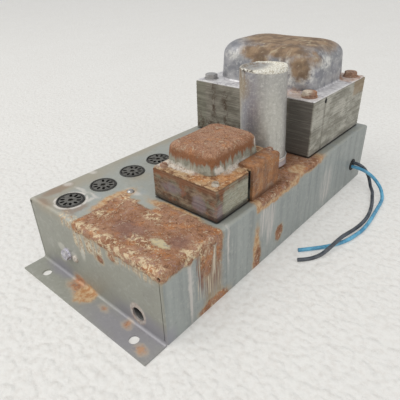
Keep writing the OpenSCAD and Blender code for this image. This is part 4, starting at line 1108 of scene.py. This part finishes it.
can_r, can_h = 16.7, 71.0
skin = [(0.6, can_h - 1.5), (9, can_h - 1.4), (13.4, can_h - 1.3), (14.3, can_h - 0.9),
        (14.8, can_h - 0.15),
        (15.4, can_h), (16.1, can_h - 0.12), (16.55, can_h - 0.6), (can_r, can_h - 1.4)]
skin += [(can_r, can_h - 1.4 - (can_h - 1.6) * k / 24) for k in range(1, 25)]
skin += [(can_r - 0.2, 0), (can_r - 0.6, 0)]
skin += [(can_r - 0.6, (can_h - 2.4) * k / 6) for k in range(1, 7)] + [(0.6, can_h - 2.3)]
can = turned("can_skin", skin, 96, centre=(CAN_X, CAN_Y, CAN_FOOT))
for vertex in can.data.vertices:
    rise = vertex.co.z / MM - CAN_FOOT
    rough_top = min(max((rise - (can_h - 3)) / 2.5, 0), 1)
    vertex.co += noise.noise_vector(vertex.co * 260) * 0.42 * MM * rough_top
    vertex.co += noise.noise_vector(vertex.co * 30) * 0.12 * MM
can.data.transform(LEAN)
can.data.materials.append(can_finish())
settle(can, ["can_capacitor"])

lip = [(16.72, 6.0), (17.0, 6.4), (17.4, 6.5), (17.75, 6.2), (17.6, 5.6), (17.35, 5.0), (17.35, 1.4),
       (17.6, 0.9),
       (17.6, 0.0), (16.72, 0.0)]
ring = turned("can_ring", lip + [lip[0]], 96, centre=(CAN_X, CAN_Y, CAN_FOOT), capped=False)
ring.data.transform(LEAN)
ring.data.materials.append(ring_finish())
settle(ring, ["can_base_ring"])

# %% [markdown]
# The four valve sockets are one rule. The maker takes the turned blank, stands nine oval
# wells on a ring of ten points with one left out, adds the middle well, cuts them all
# away, and sets four copies along a line.

# %% Valve sockets
def socket_maker():
    m = Maker("valve_sockets", {"Pin Circle": "Float", "Well": "Vector", "Hub": "Float", "Top": "Float",
                                "Depth": "Float", "Start": "Vector", "Step": "Vector", "Count": "Int"})
    ring = m.node("GeometryNodeMeshCircle", {}, {"Vertices": 10, "Radius": m.given["Pin Circle"]})
    index = m.node("GeometryNodeInputIndex")
    missing = m.node("FunctionNodeCompare", {"data_type": "INT", "operation": "EQUAL"},
                     {2: index, 3: 5})
    ring = m.node("GeometryNodeDeleteGeometry", {"domain": "POINT"},
                  {"Geometry": ring, "Selection": missing})
    place = m.node("GeometryNodeInputPosition")
    turn = m.node("FunctionNodeAlignRotationToVector", {"axis": "X"}, {"Vector": place})
    well = m.node("GeometryNodeMeshCylinder", {}, {"Vertices": 20, "Radius": 1.0,
                                                   "Depth": m.given["Depth"]})
    wells = m.node("GeometryNodeInstanceOnPoints", {},
                   {"Points": ring, "Instance": well, "Rotation": turn, "Scale": m.given["Well"]})
    hub = m.node("GeometryNodeMeshCylinder", {}, {"Vertices": 24, "Radius": m.given["Hub"],
                                                  "Depth": m.given["Depth"]})
    both = m.join(m.node("GeometryNodeRealizeInstances", {}, {0: wells}), hub)
    lift = m.node("ShaderNodeCombineXYZ", {}, {"Z": m.given["Top"]})
    both = m.node("GeometryNodeTransform", {}, {"Geometry": both, "Translation": lift})
    body = m.node("GeometryNodeMeshBoolean", {"operation": "DIFFERENCE", "solver": "EXACT"},
                  {"Mesh 1": m.given["Base"], "Mesh 2": both})
    line = m.node("GeometryNodeMeshLine", {"mode": "OFFSET"},
                  {"Count": m.given["Count"], "Start Location": m.given["Start"],
                   "Offset": m.given["Step"]})
    return m.close(m.node("GeometryNodeInstanceOnPoints", {}, {"Points": line, "Instance": body}))


def bakelite_finish():
    f = Finish("dusty_bakelite")
    dust = f.noise(3, 5, rough=0.65, seed=1)
    fine = f.noise(0.8, 4, rough=0.7, seed=2)
    face = f.step(f.z, 52.1, 52.4) * f.step(f.z, 52.68, 52.56)
    f.color = f.mix(dust, tone(22, 21, 20), tone(44, 42, 40))
    f.lay(face * f.step(dust, 0.3, 0.52) * 0.85, f.mix(fine, tone(84, 83, 80), tone(122, 120, 114)))
    f.lay(f.step(f.z, 50, 46) * 0.7, tone(12, 11, 10))
    return f.done(f.level(face, 0.42, 0.8), 0.0, f.bump(fine, 0.15, 0.6))


ROW_START, ROW_STEP = (-37 * MM, -110.8 * MM, 0), (0, 27 * MM, 0)
blank = turned("socket_blank", [
    (0.4, 52.5), (7.6, 52.5), (7.95, 52.3), (8.0, 51.6), (8.35, 51.6), (8.4, 52.5), (8.6, 52.8), (9.15,
                                                                                                  52.8),
    (9.4, 52.4), (9.4, 50), (11.6, 50), (11.6, 47.8), (9.4, 47.8), (9.4, 40.9), (9.2, 40.7),
(0.4, 40.7)])
sockets = socket_maker().run(
    "valve_sockets", blank, Pin_Circle=5.65 * MM, Well=(1.8 * MM, 1.05 * MM,
                                                        1), Hub=1.7 * MM, Top=49.9 * MM,
    Depth=7 * MM, Start=ROW_START, Step=ROW_STEP, Count=4, Finish=bakelite_finish())
tidy(sockets, angle=35)
settle(sockets, ["socket_1", "socket_2", "socket_3", "socket_4"])

# %% [markdown]
# Every other metal part shares one recipe with its own tones: two tones in clouds, fine
# scratches or grain, and a stain that gathers where the noise says. Bolts take their
# colour from where they stand: left ones kept their plating, the near right one is brown
# under cream scale, and the far right one is orange.

# %% Plain finishes
def worn(name, dark, light, stain, size=3.0, share=0.5, rough=0.5, metal=0.0, bumps=0.12, stretch=None,
         **constants):
    f = Finish(name)
    clouds = f.noise(size, 5, rough=0.62, stretch=stretch, seed=1)
    grain = f.noise(size / 4, 4, rough=0.7, stretch=stretch, seed=2)
    spots = f.step(f.noise(size * 1.7, 5, rough=0.65, seed=3), 0.52, 0.66)
    f.color = f.mix(f.step(clouds, 0.36, 0.64), tone(*dark), tone(*light))
    f.lay(f.step(grain, 0.55, 0.75) * 0.35, tone(*light))
    f.lay(f.step(grain, 0.45, 0.25) * 0.35, tone(*dark))
    f.lay(spots * share, tone(*stain))
    return f.done(f.level(spots * share, rough, min(rough + 0.25, 1)),
                  f.level(spots * share, metal, 0.0),
                  f.bump(clouds * 0.6 + grain * 0.4, bumps, 0.7), **constants)


def fastener_finish():
    f = Finish("tarnished_plating")
    torn = f.ragged(5, 4)
    clouds = f.noise(3, 5, rough=0.65, seed=1)
    fine = f.noise(0.8, 4, rough=0.7, seed=2)
    f.color = f.mix(clouds, tone(140, 138, 136), tone(192, 190, 188))
    f.lay(f.step(fine, 0.5, 0.72) * 0.4, tone(216, 214, 210))
    rusty, lumps = rust(f, 0.2)
    brown = f.blobs(torn, (46, 52.5, 99, 9, 9, 8), (46, 127.5, 99, 9, 9, 8), (9, -67, 76, 5, 5, 5),
                    (9, -9, 76, 5, 5, 5), (51.6, -9, 76, 5, 5, 5))
    eaten = f.step(brown, 1, -1)
    f.lay(eaten * 0.85, rusty)
    cream = f.blobs(torn, (44, 50, 100.5, 5, 5, 3), (51.6, -67, 76, 3.4, 3.4, 3))
    f.lay(f.step(cream, 0.8, -0.8) * f.step(fine, 0.3, 0.5) * 0.8, tone(220, 210, 192))
    under = f.step(f.z, 50, 46)
    f.lay(under * 0.4, tone(150, 140, 120))
    return f.done(f.level(eaten, 0.4, 0.85), f.level(eaten, 0.8, 0.1),
                  f.bump(lumps * eaten + fine * 0.3, 0.3, 0.7))


plating = fastener_finish()
bolt = turned("bolt", [(0.4, 3.4), (4.4, 3.4), (5.0, 3.2), (5.5, 2.7), (5.5, 0.1), (5.3, 0), (2.3, 0),
                       (2.3, -51.8), (1.9, -52.2), (0.4, -52.2)], 48, flats=9.5, angle=25)
x0, x1, y0, y1 = nodes_box("power_core")[:4]
four = {"Width": (x1 - x0 - 2 * bolt_inset) * MM, "Depth": (y1 - y0 - 2 * bolt_inset) * MM,
        "Finish": plating}
middle = ((x0 + x1) / 2 * MM, (y0 + y1) / 2 * MM)
FLANGE_Z, WASHER_T = 96.7, 1.0
bolts = CORNERS.run("power_bolt_set", bolt, Centre=(*middle, (FLANGE_Z + WASHER_T) * MM), Seed=4,
                    **four)
settle(bolts, ["power_bolts"])
washer = turned("washer", [(2.5, 0), (2.5, 0.9), (2.7, 1.0), (5.9, 1.0), (6.2, 0.8), (6.2, 0.15),
                           (6.0, 0), (2.5, 0)],
                48, angle=25, capped=False)
washers = CORNERS.run("power_washer_set", washer, Centre=(*middle, FLANGE_Z * MM), Seed=2, **four)
settle(washers, ["power_washers"])

# %% [markdown]
# The strap over the output transformer, its groove's dark neighbour, is rust all through:
# orange brown on its face and darker along its bottom.

# %% Strap
def clamp_finish():
    f = Finish("rusted_strap")
    rusty, lumps = rust(f, 0.2)
    soft = f.noise(7, 5, rough=0.6, seed=3)
    runs = f.noise(3, 5, stretch=(1, 1, 6), seed=4)
    f.color = f.mix(0.6, rusty, f.mix(f.step(soft, 0.4, 0.6), tone(122, 84, 58), tone(164, 112, 66)))
    f.lay(f.step(f.noise(5, 6, rough=0.7, seed=6), 0.52, 0.62) * 0.6, tone(150, 132, 116))
    f.lay(f.step(runs, 0.54, 0.7) * 0.3, tone(184, 146, 104))
    f.lay(f.step(runs, 0.45, 0.3) * 0.4, tone(100, 70, 50))
    f.lay(f.step(f.z, 57, 53) * 0.6, tone(92, 62, 44))
    return f.done(0.85, 0.05, f.bump(lumps + runs * 0.4, 0.5, 0.8))


strap_rust = clamp_finish()
print("strap", strap_rust.name)

# %% [markdown]
# Now each solid that keeps its modelled shape gets its finish. The underside is in the
# dry, so it kept its colours: brown laminate strips, tinned tags, carbon resistors, waxed
# capacitors, cloth leads.

# %% Paint the rest
def resistor_finish():
    f = Finish("carbon_body")
    fine = f.noise(1.2, 4, rough=0.7, seed=1)
    bands = f.noise(1.6, 0, stretch=(1, 60, 60), seed=4)
    f.color = f.mix(f.noise(4, 4, seed=2), tone(110, 74, 50), tone(140, 100, 70))
    f.lay(f.step(bands, 0.6, 0.62), tone(170, 52, 34))
    f.lay(f.step(bands, 0.38, 0.36), tone(190, 160, 60))
    f.lay(f.step(fine, 0.55, 0.75) * 0.3, tone(180, 160, 130))
    return f.done(0.6, 0.0, f.bump(fine, 0.1, 0.6))


contact = worn("tinned_contact", (120, 114, 100), (188, 182, 168), (96, 84, 62), 1.6, 0.5, 0.45, 0.7)
phenolic = worn("brown_laminate", (86, 50, 30), (120, 76, 46), (160, 140, 110), 5, 0.35, 0.6, bumps=0.1)
lead = worn("cloth_lead", (92, 78, 60), (136, 118, 92), (70, 58, 46), 2, 0.4, 0.8, bumps=0.25)
coil = worn("waxed_paper", (150, 118, 70), (186, 154, 102), (104, 76, 44), 6, 0.5, 0.55,
            stretch=(4, 4, 1))
card = worn("bobbin_card", (124, 100, 70), (156, 132, 98), (96, 72, 48), 4, 0.4, 0.85)
keep = {
    "power_bell_bottom": bell_finish, "output_bell_bottom": output_bell_finish(),
    "output_clamp": strap_rust, "output_screws": plating, "output_nuts": plating, "power_nuts": plating,
    "panel_nut": plating, "strip_rivets": plating,
    "panel_screw": worn("bright_zinc", (186, 182, 196), (232, 230, 236), (150, 146, 150), 2.4, 0.4,
                        0.35,
                        0.8),
    "panel_rivet": worn("rivet_zinc", (170, 160, 150), (214, 206, 196), (150, 116, 90), 1.6, 0.6, 0.5,
                        0.5),
    "socket_rings": worn("socket_ring", (120, 116, 108), (176, 172, 164), (130, 100, 74), 3, 0.5, 0.5,
                         0.6),
    **{f"socket_contacts_{i}": contact for i in range(1, 5)},
    "front_tags": contact, "rear_tags": contact, "can_lugs": contact,
    "front_tag_strip": phenolic, "rear_tag_strip": phenolic, "can_base_disc": phenolic,
"can_wafer": phenolic,
    "power_bobbin": card, "output_bobbin": card, "power_coil": coil, "output_coil": coil,
    "power_leads": lead, "output_leads": lead, "heater_wires": lead, "inner_leads": lead,
    "resistors": resistor_finish(),
    "coupling_capacitors": worn("waxed_capacitor", (150, 112, 56), (196, 158, 92), (110, 76, 40), 5,
                                0.5,
                                0.4),
    "bias_capacitor": worn("sleeved_capacitor", (58, 66, 78), (92, 102, 114), (150, 146, 136), 4, 0.4,
                           0.45),
    "dropper_resistor": worn("glazed_ceramic", (70, 84, 76), (104, 118, 108), (140, 128, 104), 4, 0.35,
                             0.3,
                             Coat_Weight=0.4),
    "can_winding": worn("foil_roll", (150, 150, 154), (190, 190, 194), (120, 120, 124), 4, 0.4, 0.35,
                        0.9),
    "wire_grommet": worn("aged_rubber", (22, 22, 22), (46, 45, 44), (86, 82, 76), 2, 0.5, 0.75),
}
for node, material in keep.items():
    paint(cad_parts[node], material)
bare = [n for n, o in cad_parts.items() if not o.hide_render and n not in keep and n != "chassis"
        and not any(m and m.use_nodes and len(m.node_tree.nodes) > 4 for m in o.data.materials)]
print("painted", len(keep) + 1, "solids, left:", bare)

# %% [markdown]
# The wires are soft plastic, dusty, with a slow change of tone along them. The bench is
# embossed leathercloth: pale, with a pebble grain and a little light of its own, which
# stands for the light a bright room would throw back into the shadows.

# %% Wires and bench
wires["wire_blue"].data.materials.append(
    worn("blue_plastic", (62, 134, 170), (100, 172, 204), (150, 176, 186), 9, 0.3, 0.45,
         Coat_Weight=0.15))
wires["wire_black"].data.materials.append(
    worn("black_plastic", (44, 50, 58), (78, 84, 92), (112, 114, 116), 9, 0.35, 0.45, Coat_Weight=0.15))


def bench_finish():
    f = Finish("pebbled_cloth")
    pebbles = f.cells(4.2, at=f.vector("DIVIDE", f.ragged(4, 6, seed=2), (1.3, 1, 1)),
                      feature="SMOOTH_F1")
    creases = f.noise(3.4, 3, rough=0.5, seed=5)
    clouds = f.noise(90, 4, seed=3)
    relief = f.step(pebbles, 0.8, 0.1) * 0.6 + creases * 0.4
    f.color = f.mix(clouds, tone(166, 164, 160), tone(174, 173, 170))
    f.lay(f.step(creases, 0.42, 0.3) * 0.12, tone(146, 142, 137))
    covered = f.step(f.box(f.at, (-52, -116, -5), (52, 130, 5)), 1, 16)
    glow = f.mix(f.step(creases, 0.3, 0.6), tone(160, 157, 153), tone(168, 167, 164))
    glow = f.mix(covered, tone(10, 10, 10), glow)
    return f.done(0.5, 0.0, f.bump(relief, 2.2, 0.75), Emission_Color=glow, Emission_Strength=0.95)


bench.data.materials.append(bench_finish())
print("bench laid")
